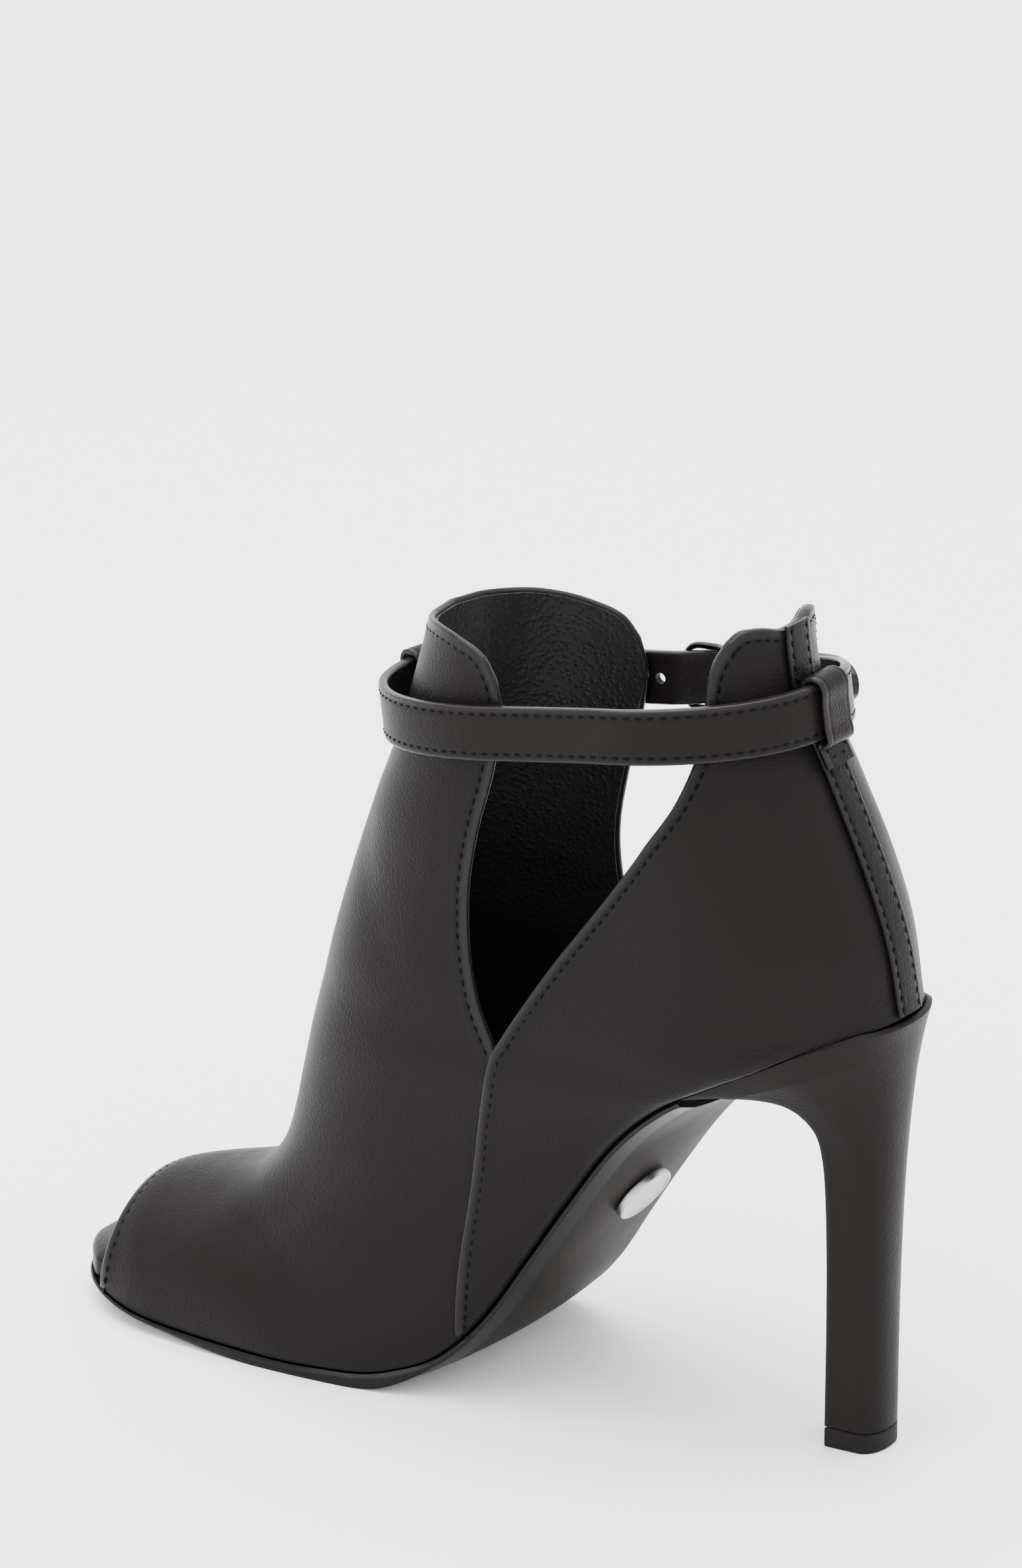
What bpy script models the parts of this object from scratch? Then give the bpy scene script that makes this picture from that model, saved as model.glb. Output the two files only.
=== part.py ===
"""Peep toe ankle boot, right foot, on a tall covered heel.

Toe towards +Y, inner side towards -X, floor at z = 0.  All sizes are in metres.
The upper is one skin over the last: section lines run from the sole edge or the back seam
to the front ridge, and every edge of the leather is a line drawn on that skin.
"""
import math

import bmesh
import bpy
import numpy as np
from mathutils import Matrix, Vector

# Last
SHOE_LENGTH = 0.215
SEAT_HEIGHT = 0.106
SHAFT_RISE = 0.072
BALL_WIDTH = 0.0723
INSTEP_WIDTH = 0.063
SEAT_ROUND = 0.026
TOE_ROUND = 0.030
SOLE_SWAY = 0.0045
SHANK_CANT = 0.002
LATERAL_DROP = 0.0085
MEDIAL_RISE = 0.0019

# Leather
WALL = 0.0020
LAP = 0.0011
GAP = 0.0003
EDGE_BLEND = 0.009
RIM_BLEND = 0.004

# Sole and footbed
SOLE_EDGE = 0.0026
SOLE_LIP = 0.0006
SHANK_EDGE = 0.0018
SHANK_BEVEL = 0.0008
SHANK_CAMBER = 0.0020
PLATFORM = 0.0064
SEAT_PAD = 0.0030
SEAT_INSET = 0.0050
TOE_INSET = 0.0008
TOE_END = 0.0002
BREAST_Y = 0.0485
TOE_SPRING = 0.0062
SPRING_PLACE = 0.72
SPRING_CURVE = 1.35
TREAD_PLACE = 0.51
TREAD_RUN = 0.11
WAIST_PLACE = 0.63
WAIST_RUN = 0.16
PAD_PLACE = 0.40
PAD_RUN = 0.21
TOE_OVERHANG = 0.0016

# Heel
LIFT_HEIGHT = 0.0050
HEEL_TIP_WIDTH = 0.0150
HEEL_TIP_FRONT = 0.0208
HEEL_MARGIN = 0.0008
SEAT_GAP = 0.00045
BADGE_DIAMETER = 0.0150
BADGE_HEIGHT = 0.0016
BADGE_ALONG = 0.0785

# Straps and trim
STRAP_WIDTH = 0.0125
STRAP_THICK = 0.0022
STRAP_TAIL = 0.034
STRAP_HOLE = 0.0015
STRAP_BACK_Z = 0.1705
STRAP_FRONT_Z = 0.1565
STRAP_SLACK_BACK = 0.0027
STRAP_SLACK_SIDE = 0.0007
STRAP_SLACK_FRONT = 0.0033
STRAP_LEAN = 0.14
BUCKLE_Y = 0.0775
BUCKLE_LENGTH = 0.0135
BUCKLE_HEIGHT = 0.0148
BUCKLE_WIRE = 0.0016
KEEPER_WIDTH = 0.0120
KEEPER_THICK = 0.0016
KEEPER_TAB = 0.0085
BACK_STRIP_WIDTH = 0.0090
BACK_STRIP_THICK = 0.0011
PRONG_WIRE = 0.0014
TAIL_KEEPER_Y = 0.0600
TAIL_KEEPER_WIDTH = 0.0060
TAIL_KEEPER_THICK = 0.0011
FRONT_KEEPER_TURN = 1.045

COLLAR_HEIGHT = SEAT_HEIGHT + SHAFT_RISE
HALF_BALL = BALL_WIDTH / 2
HALF_INSTEP = INSTEP_WIDTH / 2
SOLE_MARGIN = WALL + SOLE_LIP
QUARTER_SKIN = WALL + LAP
STRIP_SKIN = QUARTER_SKIN + GAP + BACK_STRIP_THICK
STRAP_OFF_BACK = STRIP_SKIN + STRAP_SLACK_BACK + STRAP_THICK / 2
STRAP_OFF_SIDE = QUARTER_SKIN + STRAP_SLACK_SIDE + STRAP_THICK / 2
STRAP_OFF_FRONT = WALL + STRAP_SLACK_FRONT + STRAP_THICK / 2

# Sole edge seen from the side: place along the shoe, height over SEAT_HEIGHT,
# inner and outer reach over half the ball width, cant and sway over their sizes
FEATHERLINE = np.array([
    # along, height, inner, outer, cant, sway
    (0.037, 0.9645, 0.68, 0.68, 0.0, 0.00),
    (0.084, 0.934, 0.69, 0.69, 0.0, 0.00),
    (0.136, 0.877, 0.69, 0.69, 0.1, 0.05),
    (0.192, 0.812, 0.69, 0.68, 0.4, 0.15),
    (0.248, 0.740, 0.66, 0.65, 0.7, 0.25),
    (0.308, 0.625, 0.64, 0.64, 1.0, 0.40),
    (0.374, 0.443, 0.64, 0.66, 1.0, 0.55),
    (0.416, 0.316, 0.67, 0.70, 0.9, 0.65),
    (0.453, 0.203, 0.74, 0.77, 0.6, 0.70),
    (0.500, 0.103, 0.84, 0.86, 0.3, 0.80),
    (0.560, 0.050, 0.94, 0.95, 0.1, 0.85),
    (0.650, 0.030, 0.98, 1.00, 0.0, 0.80),
    (0.770, 0.030, 0.93, 0.94, 0.0, 0.55),
    (0.880, 0.038, 0.81, 0.82, 0.0, 0.20),
    (0.950, 0.056, 0.75, 0.76, 0.0, 0.00),
    (1.000, 0.072, 0.72, 0.72, 0.0, -0.10),
])

# Sections of the last, collar to toe.  Lengths along over SHOE_LENGTH, heights over
# COLLAR_HEIGHT (back) and COLLAR_HEIGHT (front), widths over half the instep width.
# belly: run from the lower end to full width; crown: run from full width to the ridge.
SECTIONS = np.array([
    # back_y, back_z, front_y, front_z, width, belly, crown
    (0.181, 1.107, 0.549, 1.067, 0.92, 0.92, 1.08),
    (0.165, 0.972, 0.577, 0.944, 0.94, 0.94, 1.08),
    (0.119, 0.854, 0.604, 0.837, 0.97, 0.97, 1.14),
    (0.080, 0.753, 0.632, 0.753, 0.99, 1.00, 1.20),
    (0.053, 0.667, 0.656, 0.669, 0.99, 1.12, 1.27),
    (0.037, 0.5744, 0.679, 0.584, 1.00, 1.38, 1.33),
    (0.158, 0.000, 0.698, 0.506, 1.00, 1.36, 1.33),
    (0.208, 0.000, 0.714, 0.438, 1.02, 1.27, 1.33),
    (0.262, 0.000, 0.728, 0.374, 1.00, 1.20, 1.33),
    (0.327, 0.000, 0.741, 0.315, 1.00, 1.15, 1.33),
    (0.393, 0.000, 0.757, 0.257, 1.02, 1.00, 1.33),
    (0.463, 0.000, 0.788, 0.208, 1.10, 0.80, 1.40),
    (0.551, 0.000, 0.826, 0.182, 1.17, 0.62, 1.43),
    (0.655, 0.000, 0.862, 0.168, 1.19, 0.50, 1.35),
    (0.765, 0.000, 0.893, 0.161, 1.11, 0.38, 1.15),
    (0.868, 0.000, 0.917, 0.155, 0.96, 0.28, 0.90),
    (0.938, 0.000, 0.932, 0.146, 0.76, 0.20, 0.70),
])
SEAT_ROW = 5
SEAT_PACE = 0.71
RIM_SHARE = 0.965

# Edges of the leather seen from the side: along over SHOE_LENGTH, height over COLLAR_HEIGHT
FRONT_COLLAR = np.array([(0.560, 1.000), (0.518, 1.009), (0.480, 1.006), (0.446, 0.992), (0.431, 0.968)])
FRONT_EDGE = np.array([
    (0.431, 0.968), (0.424, 0.935), (0.431, 0.860), (0.450, 0.770),
    (0.460, 0.690), (0.458, 0.620), (0.446, 0.550), (0.425, 0.489)])
LAP_SEAM = np.array([(0.425, 0.489), (0.438, 0.420), (0.454, 0.310), (0.472, 0.200), (0.483, 0.080)])
BACK_EDGE = np.array([
    (0.199, 1.048), (0.206, 1.022), (0.207, 0.960), (0.206, 0.905), (0.215, 0.858),
    (0.247, 0.790), (0.281, 0.733), (0.315, 0.680), (0.350, 0.625), (0.384, 0.567),
    (0.410, 0.520), (0.425, 0.489)])
BACK_COLLAR = np.array([(0.1765, 1.050), (0.183, 1.058), (0.192, 1.059), (0.199, 1.048)])

# Points along the edges of the leather, and across the vamp's collar and rim
COLLAR_POINTS = 9
EDGE_POINTS = 10
SEAM_POINTS = 9
FOOT_POINTS = 13
BACK_COLLAR_POINTS = 15
BACK_EDGE_POINTS = 13
SOLE_POINTS = 30
BEND_CROWDING = 0.25
END_CROWDING = 0.12

# Heel sections, tip to seat.  Places along over SHOE_LENGTH (back) and HEEL_TIP_FRONT (front),
# heights as shares from the lift to the seat, width as a share from the tip's to the seat's,
# corner: rounding at the back over the half width
HEEL_ROWS = np.array([
    # back_y, back_z, front_y, front_z, width, corner
    (0.0380, 0.000, 1.000, 0.000, 0.00, 0.62),
    (0.0370, 0.265, 0.982, 0.265, 0.02, 0.64),
    (0.0345, 0.495, 0.975, 0.495, 0.07, 0.68),
    (0.0312, 0.643, 0.990, 0.638, 0.15, 0.74),
    (0.0285, 0.748, 1.050, 0.718, 0.31, 0.84),
    (0.0255, 0.843, 1.290, 0.774, 0.56, 0.95),
    (0.0215, 0.915, 1.790, 0.784, 0.82, 1.04),
    (0.0165, 0.962, 2.290, 0.757, 1.00, 1.10),
])
SEAT_PLACE = 0.035

BLACK_LEATHER = ((0.020, 0.019, 0.020), 0.45, 0.0)
LINING_BLACK = ((0.016, 0.016, 0.017), 0.60, 0.0)
SOLE_BLACK = ((0.012, 0.012, 0.012), 0.30, 0.0)
LIFT_BLACK = ((0.020, 0.020, 0.020), 0.70, 0.0)
POLISHED_STEEL = ((0.800, 0.790, 0.770), 0.18, 1.0)
DARK_STEEL = ((0.120, 0.120, 0.125), 0.25, 1.0)


def smooth(places, values, where):
    """Smooth curve through a table column: cubic pieces with slopes from the neighbours."""
    steps = np.diff(places)
    slopes = np.diff(values) / steps
    inner = (slopes[:-1] * steps[1:] + slopes[1:] * steps[:-1]) / (steps[1:] + steps[:-1])
    tangents = np.concatenate(([slopes[0]], inner, [slopes[-1]]))
    row = np.clip(np.searchsorted(places, where) - 1, 0, len(places) - 2)
    step = steps[row]
    t = (where - places[row]) / step
    return ((1 + 2 * t) * (1 - t) ** 2 * values[row] + t * (1 - t) ** 2 * step * tangents[row]
            + t * t * (3 - 2 * t) * values[row + 1] + t * t * (t - 1) * step * tangents[row + 1])


def quarter_round(share, power=2.0):
    """Rise from 0 to 1 along a quarter of a round, flat beyond it."""
    left = 1.0 - np.clip(share, 0.0, 1.0)
    return (1.0 - left ** power) ** (1.0 / power)


def featherline(y):
    """Height, inner and outer reach, cant and sway of the sole edge at a place along the shoe."""
    along = np.asarray(y) / SHOE_LENGTH
    columns = [smooth(FEATHERLINE[:, 0], FEATHERLINE[:, i], along) for i in range(1, 6)]
    start = FEATHERLINE[0, 0] * SHOE_LENGTH
    ends = quarter_round((y - start) / SEAT_ROUND) * quarter_round((SHOE_LENGTH - y) / TOE_ROUND)
    return (columns[0] * SEAT_HEIGHT, columns[1] * HALF_BALL * ends, columns[2] * HALF_BALL * ends,
            columns[3] * SHANK_CANT, columns[4] * SOLE_SWAY)


def section(j):
    """Lower end, ridge end, width, belly and crown of the section line at row j."""
    rows = np.arange(len(SECTIONS), dtype=float)
    back_y, back_z, front_y, front_z, width, belly, crown = [
        smooth(rows, SECTIONS[:, i], j) for i in range(7)]
    turn = np.clip(j - SEAT_ROW, 0.0, 1.0)
    turn = turn * (1 + SEAT_PACE - SEAT_PACE * turn)
    start = FEATHERLINE[0, 0] * SHOE_LENGTH
    seat_y = start + SEAT_ROUND * (1 - np.cos(turn * math.pi / 2))
    foot_rows = np.arange(SEAT_ROW + 1, len(SECTIONS), dtype=float)
    foot_values = SECTIONS[SEAT_ROW + 1:, 0] * SHOE_LENGTH
    foot_values[0] = start + SEAT_ROUND
    foot_y = smooth(foot_rows, foot_values, np.maximum(j, SEAT_ROW + 1))
    shaft_rows = np.arange(0, SEAT_ROW + 1, dtype=float)
    shaft_y = smooth(shaft_rows, SECTIONS[:SEAT_ROW + 1, 0] * SHOE_LENGTH, np.minimum(j, SEAT_ROW))
    shaft_z = smooth(shaft_rows, SECTIONS[:SEAT_ROW + 1, 1] * COLLAR_HEIGHT, np.minimum(j, SEAT_ROW))
    lower_y = np.where(j <= SEAT_ROW, shaft_y, np.where(j <= SEAT_ROW + 1, seat_y, foot_y))
    edge = featherline(lower_y)
    lower_z = np.where(j <= SEAT_ROW, shaft_z, edge[0])
    return {
        "back": (lower_y, lower_z), "front": (front_y * SHOE_LENGTH, front_z * COLLAR_HEIGHT),
        "width": width * HALF_INSTEP, "belly": belly * HALF_INSTEP, "crown": crown * HALF_INSTEP,
        "edge": edge}


def last_point(j, a, side):
    """Point of the last on section j; a runs 0 at the lower end to 1 at the ridge; side -1 or 1."""
    j, a = np.broadcast_arrays(np.asarray(j, float), np.asarray(a, float))
    row = section(j)
    share = (1 - np.cos(math.pi * np.clip(a, 0, 1))) / 2
    back_y, back_z = row["back"]
    front_y, front_z = row["front"]
    length = np.hypot(front_y - back_y, front_z - back_z)
    on_foot = np.clip(j - SEAT_ROW, 0.0, 1.0)
    reach = np.where(j > SEAT_ROW, row["edge"][1] if side < 0 else row["edge"][2], 0.0)
    belly = quarter_round(share * length / row["belly"])
    crown = quarter_round((1 - share) * length / row["crown"], 2.1)
    y = back_y + share * (front_y - back_y)
    start = FEATHERLINE[0, 0] * SHOE_LENGTH
    seat_belly = SECTIONS[SEAT_ROW, 5] * HALF_INSTEP
    plan = np.where(j > SEAT_ROW, quarter_round((y - start) / seat_belly), 1.0)
    low = np.where(j > SEAT_ROW, quarter_round((back_y - start) / seat_belly), 1.0)
    half = (row["width"] * plan - (row["width"] * low - reach) * (1 - belly)) * crown
    cant = row["edge"][3] * on_foot * (1 - share) ** 2
    sway = row["edge"][4] * on_foot
    shaft = np.clip(1 - j / SEAT_ROW, 0, 1) * (half / HALF_INSTEP) ** 2
    lean = MEDIAL_RISE * shaft if side < 0 else -LATERAL_DROP * shaft
    z = back_z + share * (front_z - back_z) - cant * side + lean
    return np.stack([side * half + sway, y, z], axis=-1)


def skin(j, a, side, lift):
    """Point that stands the distance lift off the last, along its outward normal."""
    j, a = np.broadcast_arrays(np.asarray(j, float), np.asarray(a, float))
    step = 1e-3
    low_j, high_j = np.clip(j - step, 0, None), np.clip(j + step, None, len(SECTIONS) - 1)
    low_a, high_a = np.clip(a - step, 0, 1), np.clip(a + step, 0, 1)
    along = last_point(high_j, a, side) - last_point(low_j, a, side)
    up = last_point(j, high_a, side) - last_point(j, low_a, side)
    normal = np.cross(along, up) * side
    normal /= np.linalg.norm(normal, axis=-1, keepdims=True)
    base = last_point(j, a, side)
    outward, above = sole_outward(base, side)
    weight = np.exp(-above / EDGE_BLEND)[..., None]
    normal = normal * (1 - weight) + outward * weight
    seam = (a >= 1 - 1e-6) | ((a <= 1e-6) & (j <= SEAT_ROW + 1e-6))
    normal[..., 0] = np.where(seam, 0.0, normal[..., 0])
    normal /= np.linalg.norm(normal, axis=-1, keepdims=True)
    return base + normal * np.asarray(lift)[..., None]


def sole_outward(base, side):
    """Outward direction of the nearest sole edge, level with the sole, and the height over it."""
    step = 5e-5
    start = FEATHERLINE[0, 0] * SHOE_LENGTH
    place = np.clip(base[..., 1], start, SHOE_LENGTH - 1e-3)
    low, high = np.clip(place - step, start, None), place + step
    reaches = [featherline(y)[1 if side < 0 else 2] for y in (low, high)]
    slope = (reaches[1] - reaches[0]) / (high - low)
    point, forward, _ = profile_frame(place)
    back = -slope * forward[..., 0]
    outward = np.stack([side * np.ones_like(slope), back * forward[..., 0], back * forward[..., 1]], axis=-1)
    outward /= np.linalg.norm(outward, axis=-1, keepdims=True)
    edge = point[..., 1] - side * featherline(place)[3]
    return outward, np.clip(base[..., 2] - edge, 0, None)


def chart(points):
    """Section row and share of side view points, found where the section line runs through them."""
    rows = np.linspace(0, len(SECTIONS) - 1, 1601)
    row = section(rows)
    back = np.stack(row["back"], axis=-1)
    reach = np.stack(row["front"], axis=-1) - back
    found = []
    for point in points:
        off = point - back
        side = reach[:, 0] * off[:, 1] - reach[:, 1] * off[:, 0]
        share = (off * reach).sum(axis=1) / (reach ** 2).sum(axis=1)
        inside = (share > -0.2) & (share < 1.2)
        cross = np.nonzero((side[:-1] * side[1:] <= 0) & inside[:-1])[0]
        i = cross[0] if len(cross) else int(np.argmin(np.abs(side) + 1e3 * ~inside))
        blend = side[i] / (side[i] - side[i + 1]) if len(cross) and side[i] != side[i + 1] else 0.0
        h = np.clip(share[i] + blend * (share[min(i + 1, 1600)] - share[i]), 0, 1)
        found.append((rows[i] + blend * (rows[1] - rows[0]), math.acos(1 - 2 * h) / math.pi))
    return np.array(found)


def spaced(points, count):
    """Evenly spaced points on a smooth line through the given points."""
    points = np.asarray(points, float)
    run = np.concatenate(([0], np.cumsum(np.linalg.norm(np.diff(points, axis=0), axis=1))))
    fine = np.linspace(0, run[-1], 241)
    line = np.stack([smooth(run, points[:, i], fine) for i in range(points.shape[1])], axis=-1)
    run = np.concatenate(([0], np.cumsum(np.linalg.norm(np.diff(line, axis=0), axis=1))))
    even = np.linspace(0, run[-1], count)
    return np.stack([np.interp(even, run, line[:, i]) for i in range(line.shape[1])], axis=-1)


def edge_line(table, count):
    """A leather edge from its side view table, as section rows and shares."""
    points = spaced(table * np.array([SHOE_LENGTH, COLLAR_HEIGHT]), count)
    return chart(points)


def straight(start, end, count):
    """Evenly spaced pairs from one section place to another."""
    t = np.linspace(0, 1, count)[:, None]
    return np.asarray(start) * (1 - t) + np.asarray(end) * t


def foot_line(first, last, count):
    """Sole edge between two section rows, as section rows and shares."""
    rows = np.linspace(SEAT_ROW, len(SECTIONS) - 1, 801)
    run = section(rows)["back"][0]
    ends = np.interp([first, last], rows, run)
    found = np.interp(sole_stations(ends[0], ends[1], count), run, rows)
    return np.stack([found, np.zeros(count)], axis=-1)


def patch(top, bottom, left, right):
    """Grid between four lines that share their corners: left and right blend, then top and bottom."""
    rows, columns = len(left), len(top)
    v = np.linspace(0, 1, rows)[:, None, None]
    u = np.linspace(0, 1, columns)[None, :, None]
    across = left[:, None] * (1 - u) + right[:, None] * u
    down = top[None] * (1 - v) + bottom[None] * v
    corners = ((top[0] * (1 - u) + top[-1] * u) * (1 - v) + (bottom[0] * (1 - u) + bottom[-1] * u) * v)
    return across + down - corners


class Shell:
    """Collects quads of a closed skin and turns them into one welded object."""

    def __init__(self):
        self.points = []
        self.faces = []

    def grid(self, rows):
        """Add a grid of points, an array of rows, as quads."""
        rows = np.asarray(rows)
        start = len(self.points)
        self.points.extend(rows.reshape(-1, 3).tolist())
        wide = rows.shape[1]
        for r in range(rows.shape[0] - 1):
            for c in range(wide - 1):
                i = start + r * wide + c
                self.faces.append((i, i + 1, i + 1 + wide, i + wide))

    def strip(self, first, second):
        """Add the band of quads between two lines of points."""
        self.grid(np.stack([first, second]))

    def build(self, name, finish):
        """Weld the points, close small triangles, face all outwards and make the object."""
        mesh = bmesh.new()
        corners = [mesh.verts.new(p) for p in self.points]
        for face in self.faces:
            mesh.faces.new([corners[i] for i in face])
        bmesh.ops.remove_doubles(mesh, verts=mesh.verts, dist=2e-6)
        bmesh.ops.dissolve_degenerate(mesh, edges=mesh.edges, dist=1e-6)
        bmesh.ops.holes_fill(mesh, edges=[e for e in mesh.edges if e.is_boundary], sides=8)
        bmesh.ops.triangulate(mesh, faces=[f for f in mesh.faces if len(f.verts) != 3])
        bmesh.ops.recalc_face_normals(mesh, faces=mesh.faces)
        return add_mesh(name, mesh, finish)


def add_mesh(name, mesh, finish, group="peep_toe_ankle_boot"):
    """Make a mesh object in a collection, with its finish."""
    data = bpy.data.meshes.new(name)
    mesh.to_mesh(data)
    mesh.free()
    data.shade_smooth()
    data.set_sharp_from_angle(angle=math.radians(35))
    item = bpy.data.objects.new(name, data)
    bpy.data.collections[group].objects.link(item)
    item.data.materials.append(material(name, finish))
    return item


def material(name, finish):
    """Plain finish with its colour, roughness and metallic value."""
    colour, rough, metal = finish
    made = bpy.data.materials.new(name)
    made.use_nodes = True
    shader = made.node_tree.nodes["Principled BSDF"]
    shader.inputs["Base Color"].default_value = (*colour, 1)
    shader.inputs["Roughness"].default_value = rough
    shader.inputs["Metallic"].default_value = metal
    return made


def vamp_lines():
    """Collar, outer, ridge and rim lines of the front leather, as section rows and shares."""
    collar = edge_line(FRONT_COLLAR, COLLAR_POINTS)
    collar[0, 1] = 1.0
    edge = edge_line(FRONT_EDGE, EDGE_POINTS)
    seam = edge_line(LAP_SEAM, SEAM_POINTS)
    seam[-1, 1] = 0.0
    last_row = len(SECTIONS) - 1.0
    foot = foot_line(seam[-1, 0], last_row, FOOT_POINTS)
    outer = np.concatenate((edge, seam[1:], foot[1:]))
    ridge = straight((collar[0, 0], 1.0), (last_row, 1.0), len(outer))
    rim = straight((last_row, 1.0), (last_row, 0.0), COLLAR_POINTS)
    return collar, outer, ridge, rim


def quarter_lines():
    """Collar, front, back seam and sole lines of the back leather."""
    collar = edge_line(BACK_COLLAR, BACK_COLLAR_POINTS)
    collar[0, 1] = 0.0
    edge = edge_line(BACK_EDGE, BACK_EDGE_POINTS)
    seam = edge_line(LAP_SEAM, SEAM_POINTS)
    seam[-1, 1] = 0.0
    front = np.concatenate((edge, seam[1:]))
    back = straight((collar[0, 0], 0.0), (float(SEAT_ROW), 0.0), len(front))
    foot = foot_line(float(SEAT_ROW), seam[-1, 0], BACK_COLLAR_POINTS)
    return collar, front, back, foot


def make_upper():
    """Vamp, shaft and quarter in one hollow skin, open at the toe, the sides, the collar and below."""
    shell = Shell()
    vamp_foot = slice(EDGE_POINTS + SEAM_POINTS - 2, None)
    for side in (-1, 1):
        collar, outer, ridge, rim = vamp_lines()
        vamp = patch(collar, rim, ridge, outer)
        outside = skin(vamp[..., 0], vamp[..., 1], side, WALL)
        inside = skin(vamp[..., 0], vamp[..., 1], side, 0.0)
        collar, front, back, foot = quarter_lines()
        rear = patch(collar, foot, back, front)
        over = skin(rear[..., 0], rear[..., 1], side, QUARTER_SKIN)
        middle = skin(rear[..., 0], rear[..., 1], side, WALL)
        under = skin(rear[..., 0], rear[..., 1], side, 0.0)
        for grid in (outside, inside, over, under):
            shell.grid(grid)
        shell.strip(outside[0], inside[0])
        shell.strip(outside[-1], inside[-1])
        shell.strip(outside[:EDGE_POINTS, -1], inside[:EDGE_POINTS, -1])
        shell.strip(outside[vamp_foot, -1], inside[vamp_foot, -1])
        shell.strip(outside[EDGE_POINTS - 1:EDGE_POINTS + SEAM_POINTS - 1, -1], over[BACK_EDGE_POINTS - 1:, -1])
        for line in (np.s_[0], np.s_[-1], np.s_[:BACK_EDGE_POINTS, -1]):
            shell.strip(over[line], middle[line])
            shell.strip(middle[line], under[line])
    return shell.build("upper", BLACK_LEATHER)


def profile_frame(y):
    """Side view point, forward tangent and downward normal of the sole edge line."""
    step = 5e-4
    height = featherline(y)[0]
    rise = (featherline(y + step)[0] - featherline(y - step)[0]) / (2 * step)
    tangent = np.stack([np.ones_like(rise), rise], axis=-1) / np.hypot(1, rise)[..., None]
    normal = np.stack([tangent[..., 1], -tangent[..., 0]], axis=-1)
    return np.stack([y, height], axis=-1), tangent, normal


def sole_stations(start, end, count):
    """Places along the sole, closer together where the profile bends and round the toe."""
    fine = np.linspace(start, end, 601)
    _, forward, _ = profile_frame(np.minimum(fine, SHOE_LENGTH - 1e-3))
    bend = np.abs(np.diff(np.arctan2(forward[:, 1], forward[:, 0]), prepend=0.0))
    bend[0] = 0.0
    toe = np.arccos(np.clip((SHOE_LENGTH - fine) / TOE_ROUND, 0, 1))
    seat = np.arccos(np.clip(1 - (fine - FEATHERLINE[0, 0] * SHOE_LENGTH) / SEAT_ROUND, 0, 1))
    measure = fine / SHOE_LENGTH + np.cumsum(bend) * BEND_CROWDING + (toe + seat) * END_CROWDING
    return np.interp(np.linspace(measure[0], measure[-1], count), measure, fine)


def outsole_stations():
    """Places along the outsole, from the heel breast to the toe."""
    return sole_stations(BREAST_Y, SHOE_LENGTH - TOE_END, SOLE_POINTS)


def sole_grid(places, across, depth, margin):
    """Surface a depth below the sole edge line; depth and across are arrays by station and column."""
    point, _, normal = profile_frame(places)
    _, inner, outer, cant, sway = featherline(places)
    reach = np.where(across < 0, (inner + margin)[:, None], (outer + margin)[:, None])
    x = across * reach + sway[:, None]
    y = point[:, 0:1] + normal[:, 0:1] * depth
    z = point[:, 1:2] + normal[:, 1:2] * depth - cant[:, None] * across
    return np.stack([x, y, z], axis=-1)


def close_between(shell, top, bottom):
    """Add two grids and the walls that join their borders."""
    shell.grid(top)
    shell.grid(bottom)
    for line in (np.s_[0], np.s_[-1], np.s_[:, 0], np.s_[:, -1]):
        shell.strip(top[line], bottom[line])


def make_outsole():
    """Thin sole from the heel breast to the toe, flat under the ball, cambered along the shank."""
    places = outsole_stations()
    columns = np.array([-1, -0.82, -0.6, -0.3, 0, 0.3, 0.6, 0.82, 1.0])
    across = np.broadcast_to(columns, (len(places), len(columns)))
    waist = np.clip((WAIST_PLACE - places / SHOE_LENGTH) / WAIST_RUN, 0, 1)
    waist = waist * waist * (3 - 2 * waist)
    bevel = np.clip((1 - np.abs(columns)) / 0.18, 0, 1)
    camber = 1 - columns ** 2
    drop = SHANK_EDGE - SOLE_EDGE + SHANK_BEVEL * bevel + SHANK_CAMBER * camber
    depth = SOLE_EDGE + waist[:, None] * drop[None]
    top = sole_grid(places, across, np.full_like(depth, GAP), SOLE_MARGIN)
    bottom = sole_grid(places, across, depth, SOLE_MARGIN)
    flat = np.clip((places / SHOE_LENGTH - TREAD_PLACE) / TREAD_RUN, 0, 1)[:, None]
    flat = flat * flat * (3 - 2 * flat)
    rise = np.clip((places / SHOE_LENGTH - SPRING_PLACE) / (1 - SPRING_PLACE), 0, 1)[:, None]
    spring = rise ** SPRING_CURVE * TOE_SPRING
    bottom[..., 2] = np.maximum(bottom[..., 2], 0.0) * (1 - flat) + spring * flat
    shell = Shell()
    close_between(shell, top, bottom)
    return shell.build("outsole", SOLE_BLACK)


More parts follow.
